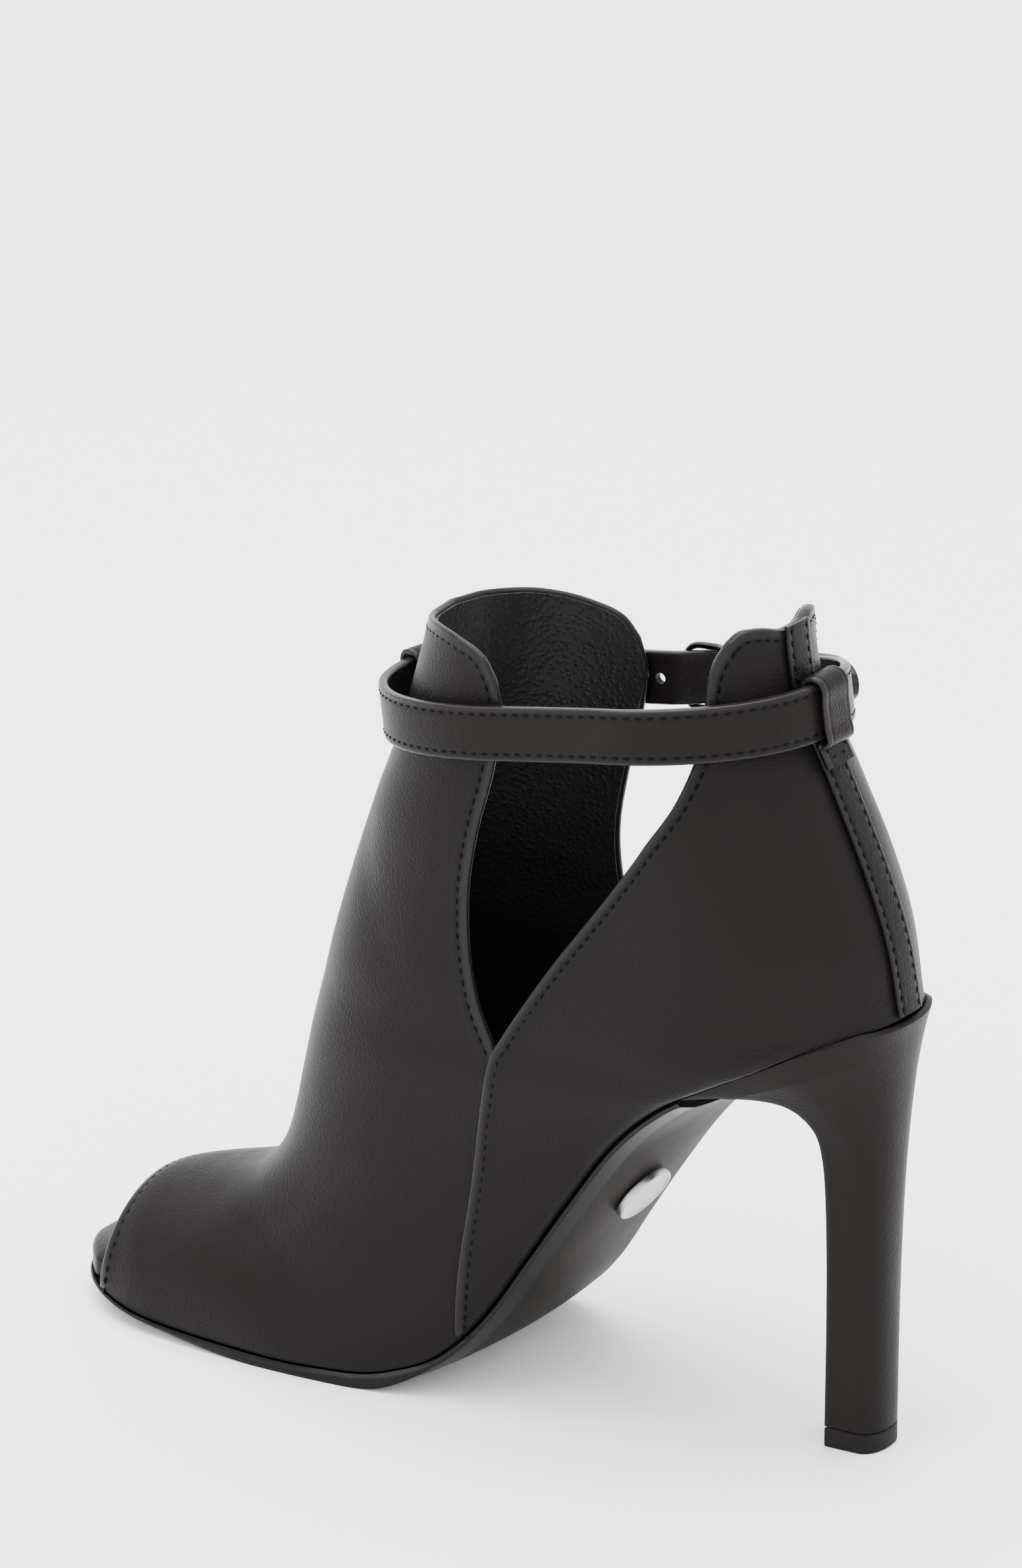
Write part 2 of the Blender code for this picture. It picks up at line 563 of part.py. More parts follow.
def make_insole():
    """Footbed inside the upper: a platform under the ball, thin in the arch and seat."""
    start = FEATHERLINE[0, 0] * SHOE_LENGTH
    places = np.linspace(start + SEAT_INSET, BREAST_Y, 7)[:-1]
    places = np.concatenate((places, outsole_stations()))
    places = np.append(places[places < SHOE_LENGTH - TOE_INSET], SHOE_LENGTH - TOE_INSET)
    columns = np.array([-1, -0.93, -0.75, -0.4, 0, 0.4, 0.75, 0.93, 1.0])
    across = np.broadcast_to(columns, (len(places), len(columns)))
    ball = np.clip((places / SHOE_LENGTH - PAD_PLACE) / PAD_RUN, 0, 1)
    ball = ball * ball * (3 - 2 * ball)
    thick = SEAT_PAD + (PLATFORM - SEAT_PAD) * ball
    crown = np.sqrt(1 - (np.abs(columns) * 0.97) ** 6)
    toe = quarter_round((SHOE_LENGTH + 0.0006 - places) / 0.010)
    rise = thick[:, None] * (0.35 + 0.65 * crown[None] * toe[:, None])
    covered = np.clip((SHOE_LENGTH * RIM_SHARE - places) / RIM_BLEND, 0, 1)
    inward = (WALL - GAP) * (1 - covered) - 4 * GAP * covered
    bottom = sole_grid(places, across, np.zeros_like(rise), inward)
    top = sole_grid(places, across, -rise, inward)
    reach = np.clip((places / SHOE_LENGTH - 0.93) / 0.07, 0, 1)[:, None] ** 2 * TOE_OVERHANG
    bottom[..., 1] += reach * 0.4
    top[..., 1] += reach
    shell = Shell()
    close_between(shell, top, bottom)
    return shell.build("insole", LINING_BLACK)


def heel_sections(rows):
    """Half width, back and front point and corner rounding of the heel at the given rows."""
    index = np.arange(len(HEEL_ROWS), dtype=float)
    back_y, back_z, front_y, front_z, width, corner = [
        smooth(index, HEEL_ROWS[:, i], rows) for i in range(6)]
    rise = SEAT_HEIGHT - LIFT_HEIGHT
    seat_half = featherline(np.array([SEAT_PLACE]))[1][0] + HEEL_MARGIN
    half = HEEL_TIP_WIDTH / 2 + width * (seat_half - HEEL_TIP_WIDTH / 2)
    return (half, back_y * SHOE_LENGTH, LIFT_HEIGHT + back_z * rise, front_y * HEEL_TIP_FRONT,
            LIFT_HEIGHT + front_z * rise, corner)


def heel_outline(half, length, corner, count=13):
    """Shares from back to front and half widths of a heel section: round back, flat breast."""
    share = 1 - np.cos(np.linspace(0, 1, count) * math.pi / 2)
    return share, half * quarter_round(share * length / (corner * half), 2.2)


def make_heel():
    """Covered heel: slim column, flat breast, flaring into the seat."""
    last = len(HEEL_ROWS) - 1.0
    rows = np.linspace(0, last, 19)
    half, back_y, back_z, front_y, front_z, corner = [value[:, None] for value in heel_sections(rows)]
    length = np.hypot(front_y - back_y, front_z - back_z)
    share, x = heel_outline(half, length, corner)
    y = back_y + share * (front_y - back_y)
    z = back_z + share * (front_z - back_z)
    start = FEATHERLINE[0, 0] * SHOE_LENGTH
    seat_z, _, _, cant, _ = featherline(np.clip(y[-1], start, None))
    seat = np.clip(rows - last + 1, 0, 1)[:, None]
    z = z + seat * (seat_z - SEAT_GAP - z[-1])[None]
    shell = Shell()
    sides = [np.stack([side * x, y, z - side * cant[None] * seat * x / half], axis=-1) for side in (-1, 1)]
    for grid in sides:
        shell.grid(grid)
    shell.strip(sides[0][:, -1], sides[1][:, -1])
    shell.strip(sides[0][0], sides[1][0])
    shell.strip(sides[0][-1], sides[1][-1])
    return shell.build("heel", BLACK_LEATHER)


def make_lift():
    """Top lift under the heel, the same outline as the heel's tip."""
    half, back_y, _, front_y, _, corner = [value[0] for value in heel_sections(np.zeros(1))]
    share, x = heel_outline(half, front_y - back_y, corner)
    y = back_y + share * (front_y - back_y)
    shell = Shell()
    levels = [np.full_like(y, height) for height in (0.0, LIFT_HEIGHT - GAP)]
    for level in levels:
        shell.strip(np.stack([-x, y, level], axis=-1), np.stack([x, y, level], axis=-1))
    for side in (-1, 1):
        shell.strip(*[np.stack([side * x, y, level], axis=-1) for level in levels])
    shell.strip(*[np.array([(-x[-1], y[-1], level[0]), (x[-1], y[-1], level[0])]) for level in levels])
    return shell.build("top_lift", LIFT_BLACK)


def back_line(height):
    """Section row of the back seam at a height, for heights on the shaft."""
    rows = np.linspace(0, SEAT_ROW, 201)
    heights = section(rows)["back"][1]
    return np.interp(-np.asarray(height), -heights, rows)


def row_at(height, a, side):
    """Section row where the line of share a has the height."""
    rows = np.linspace(0, len(SECTIONS) - 1, 401)
    heights = last_point(rows, np.full_like(rows, a), side)[:, 2]
    return np.interp(-np.asarray(height), -heights[:160], rows[:160])


def make_back_strip():
    """Folded strip over the back seam, from a small lip above the collar to the heel."""
    top = edge_line(BACK_COLLAR, 3)[0, 0] - 0.04
    rows = np.linspace(top, SEAT_ROW - 0.03, 19)
    shares = np.linspace(0, 0.3, 40)
    columns = np.linspace(-1, 1, 7)
    base = QUARTER_SKIN + GAP
    grids = []
    for lift in (STRIP_SKIN, base):
        lines = []
        for row in rows:
            across = [skin(np.full(40, row), shares, side, base)[:, 0] for side in (-1, 1)]
            line = []
            for column in columns:
                side = -1 if column < 0 else 1
                reach = np.abs(across[0 if side < 0 else 1])
                a = np.interp(abs(column) * BACK_STRIP_WIDTH / 2, reach, shares)
                line.append(skin(row, a, side, lift))
            lines.append(line)
        grids.append(np.array(lines))
    shell = Shell()
    close_between(shell, *grids)
    return shell.build("back_strip", BLACK_LEATHER)


def strap_frame(turn, extra):
    """Centre, outward and upright directions of the strap at a turn round the ankle.

    The turn is 0 at the back seam, pi / 2 on the inner side, pi at the front; extra stands it off."""
    turn = np.asarray(turn, float)
    a = np.abs((turn + math.pi) % (2 * math.pi) - math.pi) / math.pi
    share = (1 - np.cos(math.pi * a)) / 2
    back = section(back_line(STRAP_BACK_Z))["back"][0]
    rows = np.linspace(0, SEAT_ROW, 201)
    front = np.interp(-STRAP_FRONT_Z, -section(rows)["front"][1], section(rows)["front"][0])
    y = back + share * (front - back)
    z = STRAP_BACK_Z + share * (STRAP_FRONT_Z - STRAP_BACK_Z)
    places = chart(np.stack([y, z], axis=-1))
    inner = np.sin(turn) >= 0
    points = np.where(inner[:, None], last_point(places[:, 0], a, -1), last_point(places[:, 0], a, 1))
    along = np.gradient(points, turn, axis=0)
    outward = np.stack([-along[:, 1], along[:, 0], 0 * turn], axis=-1)
    outward /= np.linalg.norm(outward, axis=1, keepdims=True)
    side_off = np.sin(math.pi * a) ** 2
    off = (STRAP_OFF_BACK * (1 - share) + STRAP_OFF_FRONT * share) * (1 - side_off) + STRAP_OFF_SIDE * side_off
    lean = STRAP_LEAN * (share * 2 - 1) * (1 - side_off)
    upright = outward * lean[:, None] + np.array([0, 0, 1.0])
    upright /= np.linalg.norm(upright, axis=1, keepdims=True)
    return points + outward * (off + extra)[:, None], outward, upright


def make_keeper(name, turn, base):
    """Upright leather loop: a tab on the wall, a run outside the strap, and a fold over its top."""
    spots, outward, upright = [value[1] for value in strap_frame(turn + np.array([-0.01, 0, 0.01]), np.zeros(3))]
    a = abs((turn + math.pi) % (2 * math.pi) - math.pi) / math.pi
    side = 1 if math.sin(turn) < 0 else -1
    half = STRAP_WIDTH / 2
    clear = STRAP_THICK / 2 + 2 * GAP + KEEPER_THICK / 2
    top = half + 2 * GAP + KEEPER_THICK / 2

    def on_wall(height):
        row = row_at(spots[2] + height, a, side)
        return skin(row, a, side, base + GAP + KEEPER_THICK / 2)

    def on_strap(off, height):
        return spots + outward * off + upright * height

    route = np.array([
        on_wall(-half - KEEPER_TAB), on_wall(-half - 4 * KEEPER_THICK), on_wall(-half - 3 * KEEPER_THICK),
        on_strap(0.0, -top - KEEPER_THICK / 2), on_strap(clear, -half - 2 * GAP),
        on_strap(clear, -half / 2), on_strap(clear, half / 4),
        on_strap(clear, half), on_strap(clear - KEEPER_THICK / 3, half + KEEPER_THICK / 2),
        on_strap(0.0, top), on_wall(top)])
    across = np.array([-outward[1], outward[0], 0.0])
    flank = np.cross(np.gradient(route, axis=0), across)
    flank *= KEEPER_THICK / 2 / np.linalg.norm(flank, axis=1, keepdims=True)
    widths = np.linspace(-1, 1, 5)[None, :, None] * KEEPER_WIDTH / 2
    shell = Shell()
    close_between(shell, *[(route + way * flank)[:, None] + widths * across for way in (-1, 1)])
    return shell.build(name, BLACK_LEATHER)


def lateral_turn(y):
    """Turn on the outer side of the strap at a place along the shoe."""
    turns = np.linspace(math.pi, 2 * math.pi, 81)
    return np.interp(-y, -strap_frame(turns, np.zeros(81))[0][:, 1], turns)


def tail_rise(turn):
    """Extra stand-off of the tail, which passes outside the buckle's rear bar."""
    start = lateral_turn(BUCKLE_Y + BUCKLE_LENGTH / 2 + 0.002)
    end = lateral_turn(BUCKLE_Y - BUCKLE_LENGTH / 2 + 0.003)
    t = np.clip((turn - start) / (end - start), 0, 1)
    return t * t * (3 - 2 * t) * (STRAP_THICK + 2 * GAP)


def make_strap():
    """Ankle strap: from the buckle's rear bar round the heel, the inner side and the front to its tail."""
    first = lateral_turn(BUCKLE_Y - BUCKLE_LENGTH / 2 - BUCKLE_WIRE / 2 - GAP) - 2 * math.pi
    last = lateral_turn(BUCKLE_Y - BUCKLE_LENGTH / 2 - STRAP_TAIL)
    turns = np.linspace(first, last, 82)
    extra = np.where(turns > math.pi, tail_rise(turns), 0.0)
    centre, outward, upright = strap_frame(turns, extra)
    round_off = 0.0004
    half, thick = STRAP_WIDTH / 2, STRAP_THICK / 2
    corners = [(half, thick - round_off), (half - round_off, thick), (round_off - half, thick),
               (-half, thick - round_off), (-half, round_off - thick), (round_off - half, -thick),
               (half - round_off, -thick), (half, round_off - thick), (half, thick - round_off)]
    taper = np.sqrt(1 - np.clip((turns - turns[-5]) / (turns[-1] - turns[-5]), 0, 1) ** 2 * 0.75)
    rings = [centre + upright * (up * taper)[:, None] + outward * out for up, out in corners]
    shell = Shell()
    shell.grid(np.stack(rings, axis=1))
    for end in (0, -1):
        ring = [line[end] for line in rings]
        shell.strip(np.array([ring[0], ring[1], ring[2], ring[3]]), np.array([ring[7], ring[6], ring[5], ring[4]]))
    strap = shell.build("ankle_strap", BLACK_LEATHER)
    for number, y in enumerate((BUCKLE_Y + BUCKLE_LENGTH / 2 + 0.0045, BUCKLE_Y - BUCKLE_LENGTH / 2 + 0.003)):
        turn = lateral_turn(y)
        spots, out, _ = strap_frame(np.array([turn - 0.01, turn]), np.zeros(2))
        cut(strap, cylinder("strap_hole_%d" % number, spots[1], out[1], STRAP_HOLE * (1 + number), 0.016))
    return strap


def cylinder(name, centre, axis, diameter, length):
    """Round cutter along an axis."""
    mesh = bmesh.new()
    bmesh.ops.create_cone(
        mesh, cap_ends=True, segments=16, radius1=diameter / 2, radius2=diameter / 2, depth=length)
    turn = Vector((0, 0, 1)).rotation_difference(Vector(axis)).to_matrix()
    bmesh.ops.transform(mesh, verts=mesh.verts, matrix=turn.to_4x4())
    bmesh.ops.translate(mesh, verts=mesh.verts, vec=Vector(centre))
    tool = add_mesh(name, mesh, BLACK_LEATHER, "cutters")
    tool.hide_render = True
    tool.display_type = "WIRE"
    return tool


def cut(item, tool):
    """Subtract a cutter."""
    change = item.modifiers.new(tool.name, "BOOLEAN")
    change.operation = "DIFFERENCE"
    change.solver = "EXACT"
    change.object = tool


def buckle_place(y, off, up):
    """Point by place along the shoe, stand-off from the strap's own line and height over its middle."""
    turns = np.array([lateral_turn(value) for value in np.atleast_1d(y)])
    order = np.linspace(turns.min() - 0.2, turns.max() + 0.2, 61)
    centre, outward, upright = strap_frame(order, np.zeros(61))
    found = []
    for turn, away, high in zip(turns, np.atleast_1d(off), np.atleast_1d(up)):
        spot = np.array([np.interp(turn, order, centre[:, i]) for i in range(3)])
        out = np.array([np.interp(turn, order, outward[:, i]) for i in range(3)])
        rise = np.array([np.interp(turn, order, upright[:, i]) for i in range(3)])
        found.append(spot + out * away + rise * high)
    return np.array(found)


def wire(name, points, diameter, closed, finish):
    """Round wire through points."""
    data = bpy.data.curves.new(name, "CURVE")
    data.dimensions = "3D"
    data.bevel_depth = diameter / 2
    data.bevel_resolution = 2
    data.use_fill_caps = not closed
    line = data.splines.new("POLY")
    line.points.add(len(points) - 1)
    for spot, point in zip(line.points, points):
        spot.co = (*point, 1)
    line.use_cyclic_u = closed
    item = bpy.data.objects.new(name, data)
    bpy.data.collections["peep_toe_ankle_boot"].objects.link(item)
    data.materials.append(material(name, finish))
    return item


def make_buckle():
    """Rounded frame whose front bar lies over the strap and whose rear bar lies under the tail."""
    turn = np.linspace(0, 2 * math.pi, 33)[:-1]
    flat = 4.0
    reach = (np.abs(np.cos(turn)) ** flat + np.abs(np.sin(turn)) ** flat) ** (-1 / flat)
    ahead = reach * np.cos(turn)
    up = reach * np.sin(turn) * BUCKLE_HEIGHT / 2
    front_off = STRAP_THICK / 2 + 2 * GAP + BUCKLE_WIRE / 2
    share = (ahead + 1) / 2
    off = front_off * share * share * (3 - 2 * share)
    points = buckle_place(BUCKLE_Y + ahead * BUCKLE_LENGTH / 2, off, up)
    wire("buckle_frame", points, BUCKLE_WIRE, True, DARK_STEEL)
    over = front_off + BUCKLE_WIRE / 2 + GAP + PRONG_WIRE / 2
    places = BUCKLE_Y + BUCKLE_LENGTH / 2 * np.array([1.18, 0.9, 0.5, 0.0, -0.30, -0.50, -0.56])
    lifts = np.array([1.0, 1.02, 1.06, 1.13, 1.15, 1.0, 0.70]) * over
    route = buckle_place(places, lifts, np.zeros(7))
    wire("buckle_prong", spaced(route, 14), PRONG_WIRE, False, DARK_STEEL)


def make_tail_keeper():
    """Small leather loop round both layers of the strap behind the buckle."""
    inner = -STRAP_THICK / 2 - 2 * GAP
    outer = STRAP_THICK * 1.5 + 4 * GAP
    high = STRAP_WIDTH / 2 + 2 * GAP
    middle, depth = (inner + outer) / 2, (outer - inner) / 2
    turn = np.linspace(0, 2 * math.pi, 25)
    flat = 6.0
    reach = (np.abs(np.cos(turn)) ** flat + np.abs(np.sin(turn)) ** flat) ** (-1 / flat)
    edges = TAIL_KEEPER_Y + np.array([-1, 1]) * TAIL_KEEPER_WIDTH / 2
    grids = []
    for thick in (TAIL_KEEPER_THICK, 0.0):
        off = middle + reach * np.cos(turn) * (depth + thick)
        up = reach * np.sin(turn) * (high + thick)
        grids.append(np.stack([buckle_place(np.full(25, y), off, up) for y in edges], axis=1))
    shell = Shell()
    shell.grid(grids[0])
    shell.grid(grids[1])
    for end in (0, 1):
        shell.strip(grids[0][:, end], grids[1][:, end])
    return shell.build("tail_keeper", BLACK_LEATHER)


def make_badge():
    """Plain round disc on the shank."""
    point, _, down = profile_frame(np.array([BADGE_ALONG]))
    depth = SHANK_EDGE + SHANK_BEVEL + SHANK_CAMBER + GAP + BADGE_HEIGHT / 2
    _, reach, _, cant, sway = [value[0] for value in featherline(np.array([BADGE_ALONG]))]
    spot = (sway, point[0, 0] + down[0, 0] * depth, point[0, 1] + down[0, 1] * depth)
    facing = Vector((-cant / reach, *down[0])).normalized()
    mesh = bmesh.new()
    bmesh.ops.create_cone(
        mesh, cap_ends=True, segments=40, radius1=BADGE_DIAMETER / 2, radius2=BADGE_DIAMETER / 2,
        depth=BADGE_HEIGHT)
    turn = Vector((0, 0, 1)).rotation_difference(facing).to_matrix()
    bmesh.ops.transform(mesh, verts=mesh.verts, matrix=turn.to_4x4())
    bmesh.ops.translate(mesh, verts=mesh.verts, vec=Vector(spot))
    return add_mesh("badge", mesh, POLISHED_STEEL)


def prepare():
    """Empty the scene and make the collections."""
    for item in list(bpy.data.objects):
        bpy.data.objects.remove(item, do_unlink=True)
    for name in ("peep_toe_ankle_boot", "cutters"):
        group = bpy.data.collections.new(name)
        bpy.context.scene.collection.children.link(group)


def centre_over_origin():
    """Move everything so that the middle of the box round the shoe stands over the origin."""
    pieces = [item for item in bpy.data.collections["peep_toe_ankle_boot"].objects if item.type == "MESH"]
    corners = np.array([corner.co for item in pieces for corner in item.data.vertices])
    middle = (corners.min(axis=0) + corners.max(axis=0)) / 2
    for item in bpy.data.objects:
        item.data.transform(Matrix.Translation((-middle[0], -middle[1], 0)))


prepare()
make_upper()
make_outsole()
make_insole()
make_heel()
make_lift()
make_back_strip()
make_strap()
make_keeper("back_keeper", 0.0, STRIP_SKIN)
make_keeper("front_keeper", FRONT_KEEPER_TURN * math.pi, WALL)
make_buckle()
make_tail_keeper()
make_badge()
centre_over_origin()
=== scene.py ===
"""Looks of the peep toe ankle boot: leather skins, seams, strap, buckle, heel, floor and camera.

Every surface is worked out over the same last as the part's solids.  Lengths are in metres, and
y runs from the back of the heel towards the toe until a finished piece is placed in the row frame.
"""

import logging
import math
from dataclasses import dataclass, field
from enum import Enum

import bmesh
import bpy
import numpy as np
from mathutils import Matrix, Vector


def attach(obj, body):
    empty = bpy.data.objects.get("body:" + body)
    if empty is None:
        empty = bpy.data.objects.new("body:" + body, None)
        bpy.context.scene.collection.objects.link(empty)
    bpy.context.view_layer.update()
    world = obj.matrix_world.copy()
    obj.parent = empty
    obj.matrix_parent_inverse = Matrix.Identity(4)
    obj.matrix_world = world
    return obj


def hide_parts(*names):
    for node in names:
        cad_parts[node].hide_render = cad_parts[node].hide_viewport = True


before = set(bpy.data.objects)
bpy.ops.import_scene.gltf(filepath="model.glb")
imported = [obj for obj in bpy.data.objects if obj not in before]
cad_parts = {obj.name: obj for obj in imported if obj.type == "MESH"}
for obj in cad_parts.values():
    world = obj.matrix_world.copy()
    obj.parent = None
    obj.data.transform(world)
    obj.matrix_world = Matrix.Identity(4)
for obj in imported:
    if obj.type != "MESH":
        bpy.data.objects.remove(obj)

LOG = logging.getLogger("boot")
Array = np.ndarray
# From the last's own origin, under the back of the heel, to the row frame
PLACE = np.array([-0.00357, -0.10940, 0.0])


class Side(Enum):
    """Inner and outer side of the foot, with the sign of x."""

    MEDIAL = -1
    LATERAL = 1


class Grain(Enum):
    """Surface pattern of a finish."""

    PLAIN = "plain"
    FINE = "fine"
    PEBBLE = "pebble"
    THREAD = "thread"
    SATIN = "satin"


def tabled(*rows: tuple[float, ...]) -> Array:
    """Dataclass field that holds a table.

    Args:
        *rows: Rows of the table.

    Returns:
        Field whose default is the rows as an array.
    """
    return field(default_factory=lambda: np.array(rows))


def smooth(places: Array, values: Array, where: Array) -> Array:
    """Smooth curve through a table column.

    Args:
        places: Rising places of the table's rows.
        values: Values of the column.
        where: Places to read.

    Returns:
        Values of cubic pieces whose slopes come from the neighbouring rows.
    """
    steps = np.diff(places)
    slopes = np.diff(values) / steps
    inner = (slopes[:-1] * steps[1:] + slopes[1:] * steps[:-1]) / (steps[1:] + steps[:-1])
    tangents = np.concatenate(([slopes[0]], inner, [slopes[-1]]))
    row = np.clip(np.searchsorted(places, where) - 1, 0, len(places) - 2)
    step = steps[row]
    t = (where - places[row]) / step
    return (
        (1 + 2 * t) * (1 - t) ** 2 * values[row]
        + t * (1 - t) ** 2 * step * tangents[row]
        + t * t * (3 - 2 * t) * values[row + 1]
        + t * t * (t - 1) * step * tangents[row + 1]
    )


def quarter_round(share: Array, power: float = 2.0) -> Array:
    """Rise from 0 to 1 along a quarter of a round, flat beyond it.

    Args:
        share: Run along the round over its length.
        power: 2 for an ellipse, more for a squarer round.

    Returns:
        Heights, (1 - (1 - share)^power)^(1 / power).
    """
    left = 1.0 - np.clip(share, 0.0, 1.0)
    return (1.0 - left**power) ** (1.0 / power)


def ease(share: Array) -> Array:
    """Soft step from 0 to 1.

    Args:
        share: Run over the step's length.

    Returns:
        3 t^2 - 2 t^3 of the clipped share t.
    """
    t = np.clip(share, 0.0, 1.0)
    return t * t * (3 - 2 * t)


def around(count: int) -> Array:
    """Evenly spaced turns of a full round.

    Args:
        count: How many.

    Returns:
        Turns from 0, the last one short of 2 pi.
    """
    return np.linspace(0, 2 * math.pi, count + 1)[:-1]


def unit(vectors: Array) -> Array:
    """Vectors scaled to length one.

    Args:
        vectors: Array whose last axis is x, y, z.

    Returns:
        Array of the same shape.
    """
    return vectors / np.maximum(np.linalg.norm(vectors, axis=-1, keepdims=True), 1e-12)


def run_of(line: Array) -> Array:
    """Length along a line at each of its points.

    Args:
        line: Points of the line.

    Returns:
        Lengths, from 0.
    """
    return np.concatenate(([0], np.cumsum(np.linalg.norm(np.diff(line, axis=0), axis=1))))


def read_at(where: Array, places: Array, values: Array) -> Array:
    """Values between the rows of an array.

    Args:
        where: Places to read.
        places: Rising places of the rows.
        values: Array with a row for each place.

    Returns:
        Array with the columns of the values in its last axis.
    """
    return np.stack([np.interp(where, places, column) for column in values.T], axis=-1)


def spaced(points: Array, count: int) -> Array:
    """Evenly spaced points on a smooth line.

    Args:
        points: Points that the line runs through.
        count: How many points come back.

    Returns:
        Array of count points.
    """
    run = run_of(points)
    fine = np.linspace(0, run[-1], 12 * len(points) + 229)
    line = np.stack([smooth(run, column, fine) for column in points.T], axis=-1)
    run = run_of(line)
    return read_at(np.linspace(0, run[-1], count), run, line)


def patch(top: Array, bottom: Array, left: Array, right: Array) -> Array:
    """Grid between four lines that share their corners.

    Args:
        top: First row of the grid.
        bottom: Last row.
        left: First column.
        right: Last column.

    Returns:
        Coons grid: the blend of left and right, plus that of top and bottom, less the corners' blend.
    """
    v = np.linspace(0, 1, len(left))[:, None, None]
    u = np.linspace(0, 1, len(top))[None, :, None]
    across = left[:, None] * (1 - u) + right[:, None] * u
    down = top[None] * (1 - v) + bottom[None] * v
    corners = (top[0] * (1 - u) + top[-1] * u) * (1 - v) + (bottom[0] * (1 - u) + bottom[-1] * u) * v
    return across + down - corners


def even_shares(grid: Array, bottom: Array) -> Array:
    """Second channel of a grid, scaled between its lines so that it never changes sign.

    Args:
        grid: Grid whose second channel is 0 along its first column.
        bottom: Rise from 0 to 1 along the last row.

    Returns:
        Last column times the blend of the first row's own rise and the given one.
    """
    v = np.linspace(0, 1, grid.shape[0])[:, None]
    rise = grid[0, :, 1] / grid[0, -1, 1]
    return grid[:, -1, 1][:, None] * (rise[None] * (1 - v) + bottom[None] * v)


@dataclass(frozen=True)
class Last:
    """The last that the boot is made on: section lines from the sole edge to the front ridge."""

    length: float = 0.215
    seat_height: float = 0.106
    collar_height: float = 0.178
    half_ball: float = 0.03615
    half_instep: float = 0.0315
    seat_round: float = 0.026
    toe_round: float = 0.030
    sole_sway: float = 0.0045
    shank_cant: float = 0.002
    lateral_drop: float = 0.0085
    medial_rise: float = 0.0019
    edge_blend: float = 0.009
    seat_row: int = 5
    seat_pace: float = 0.71
    edge_table: Array = tabled(
        # along, height, inner, outer, cant, sway
        (0.037, 0.9645, 0.68, 0.68, 0.0, 0.00),
        (0.084, 0.934, 0.69, 0.69, 0.0, 0.00),
        (0.136, 0.877, 0.69, 0.69, 0.1, 0.05),
        (0.192, 0.812, 0.69, 0.68, 0.4, 0.15),
        (0.248, 0.740, 0.66, 0.65, 0.7, 0.25),
        (0.308, 0.625, 0.64, 0.64, 1.0, 0.40),
        (0.374, 0.443, 0.64, 0.66, 1.0, 0.55),
        (0.416, 0.316, 0.67, 0.70, 0.9, 0.65),
        (0.453, 0.203, 0.74, 0.77, 0.6, 0.70),
        (0.500, 0.103, 0.84, 0.86, 0.3, 0.80),
        (0.560, 0.050, 0.94, 0.95, 0.1, 0.85),
        (0.650, 0.030, 0.98, 1.00, 0.0, 0.80),
        (0.770, 0.030, 0.93, 0.94, 0.0, 0.55),
        (0.880, 0.038, 0.81, 0.82, 0.0, 0.20),
        (0.950, 0.056, 0.75, 0.76, 0.0, 0.00),
        (1.000, 0.072, 0.72, 0.72, 0.0, -0.10),
    )
    section_table: Array = tabled(
        # back_y, back_z, front_y, front_z, width, belly, crown
        (0.181, 1.107, 0.549, 1.067, 0.92, 0.92, 1.08),
        (0.165, 0.972, 0.577, 0.944, 0.94, 0.94, 1.08),
        (0.119, 0.854, 0.604, 0.837, 0.97, 0.97, 1.14),
        (0.080, 0.753, 0.632, 0.753, 0.99, 1.00, 1.20),
        (0.053, 0.667, 0.656, 0.669, 0.99, 1.12, 1.27),
        (0.037, 0.5744, 0.679, 0.584, 1.00, 1.38, 1.33),
        (0.158, 0.000, 0.698, 0.506, 1.00, 1.36, 1.33),
        (0.208, 0.000, 0.714, 0.438, 1.02, 1.27, 1.33),
        (0.262, 0.000, 0.728, 0.374, 1.00, 1.20, 1.33),
        (0.327, 0.000, 0.741, 0.315, 1.00, 1.15, 1.33),
        (0.393, 0.000, 0.757, 0.257, 1.02, 1.00, 1.33),
        (0.463, 0.000, 0.788, 0.208, 1.10, 0.80, 1.40),
        (0.551, 0.000, 0.826, 0.182, 1.17, 0.62, 1.43),
        (0.655, 0.000, 0.862, 0.168, 1.19, 0.50, 1.35),
        (0.765, 0.000, 0.893, 0.161, 1.11, 0.38, 1.15),
        (0.868, 0.000, 0.917, 0.155, 0.96, 0.28, 0.90),
        (0.938, 0.000, 0.932, 0.146, 0.76, 0.20, 0.70),
    )

    @property
    def start(self) -> float:
        """Place of the sole edge's back end."""
        return self.edge_table[0, 0] * self.length

    @property
    def last_row(self) -> float:
        """Section row at the toe opening."""
        return len(self.section_table) - 1.0

    def edge(self, y: Array) -> tuple[Array, ...]:
        """Sole edge at places along the shoe.

        Args:
            y: Places from the back of the heel.

        Returns:
            Height, inner reach, outer reach, cant and sway.
        """
        table = self.edge_table
        height, inner, outer, cant, sway = (
            smooth(table[:, 0], table[:, i], np.asarray(y) / self.length) for i in range(1, 6)
        )
        ends = quarter_round((y - self.start) / self.seat_round) * quarter_round(
            (self.length - y) / self.toe_round
        )
        return (
            height * self.seat_height,
            inner * self.half_ball * ends,
            outer * self.half_ball * ends,
            cant * self.shank_cant,
            sway * self.sole_sway,
        )

    def profile(self, y: Array) -> tuple[Array, Array, Array]:
        """Side view of the sole edge line.

        Args:
            y: Places from the back of the heel.

        Returns:
            Points, forward tangents and downward normals, each as y and z.
        """
        step = 5e-4
        height = self.edge(y)[0]
        rise = (self.edge(y + step)[0] - self.edge(y - step)[0]) / (2 * step)
        forward = np.stack([np.ones_like(rise), rise], axis=-1) / np.hypot(1, rise)[..., None]
        down = np.stack([forward[..., 1], -forward[..., 0]], axis=-1)
        return np.stack([y, height], axis=-1), forward, down

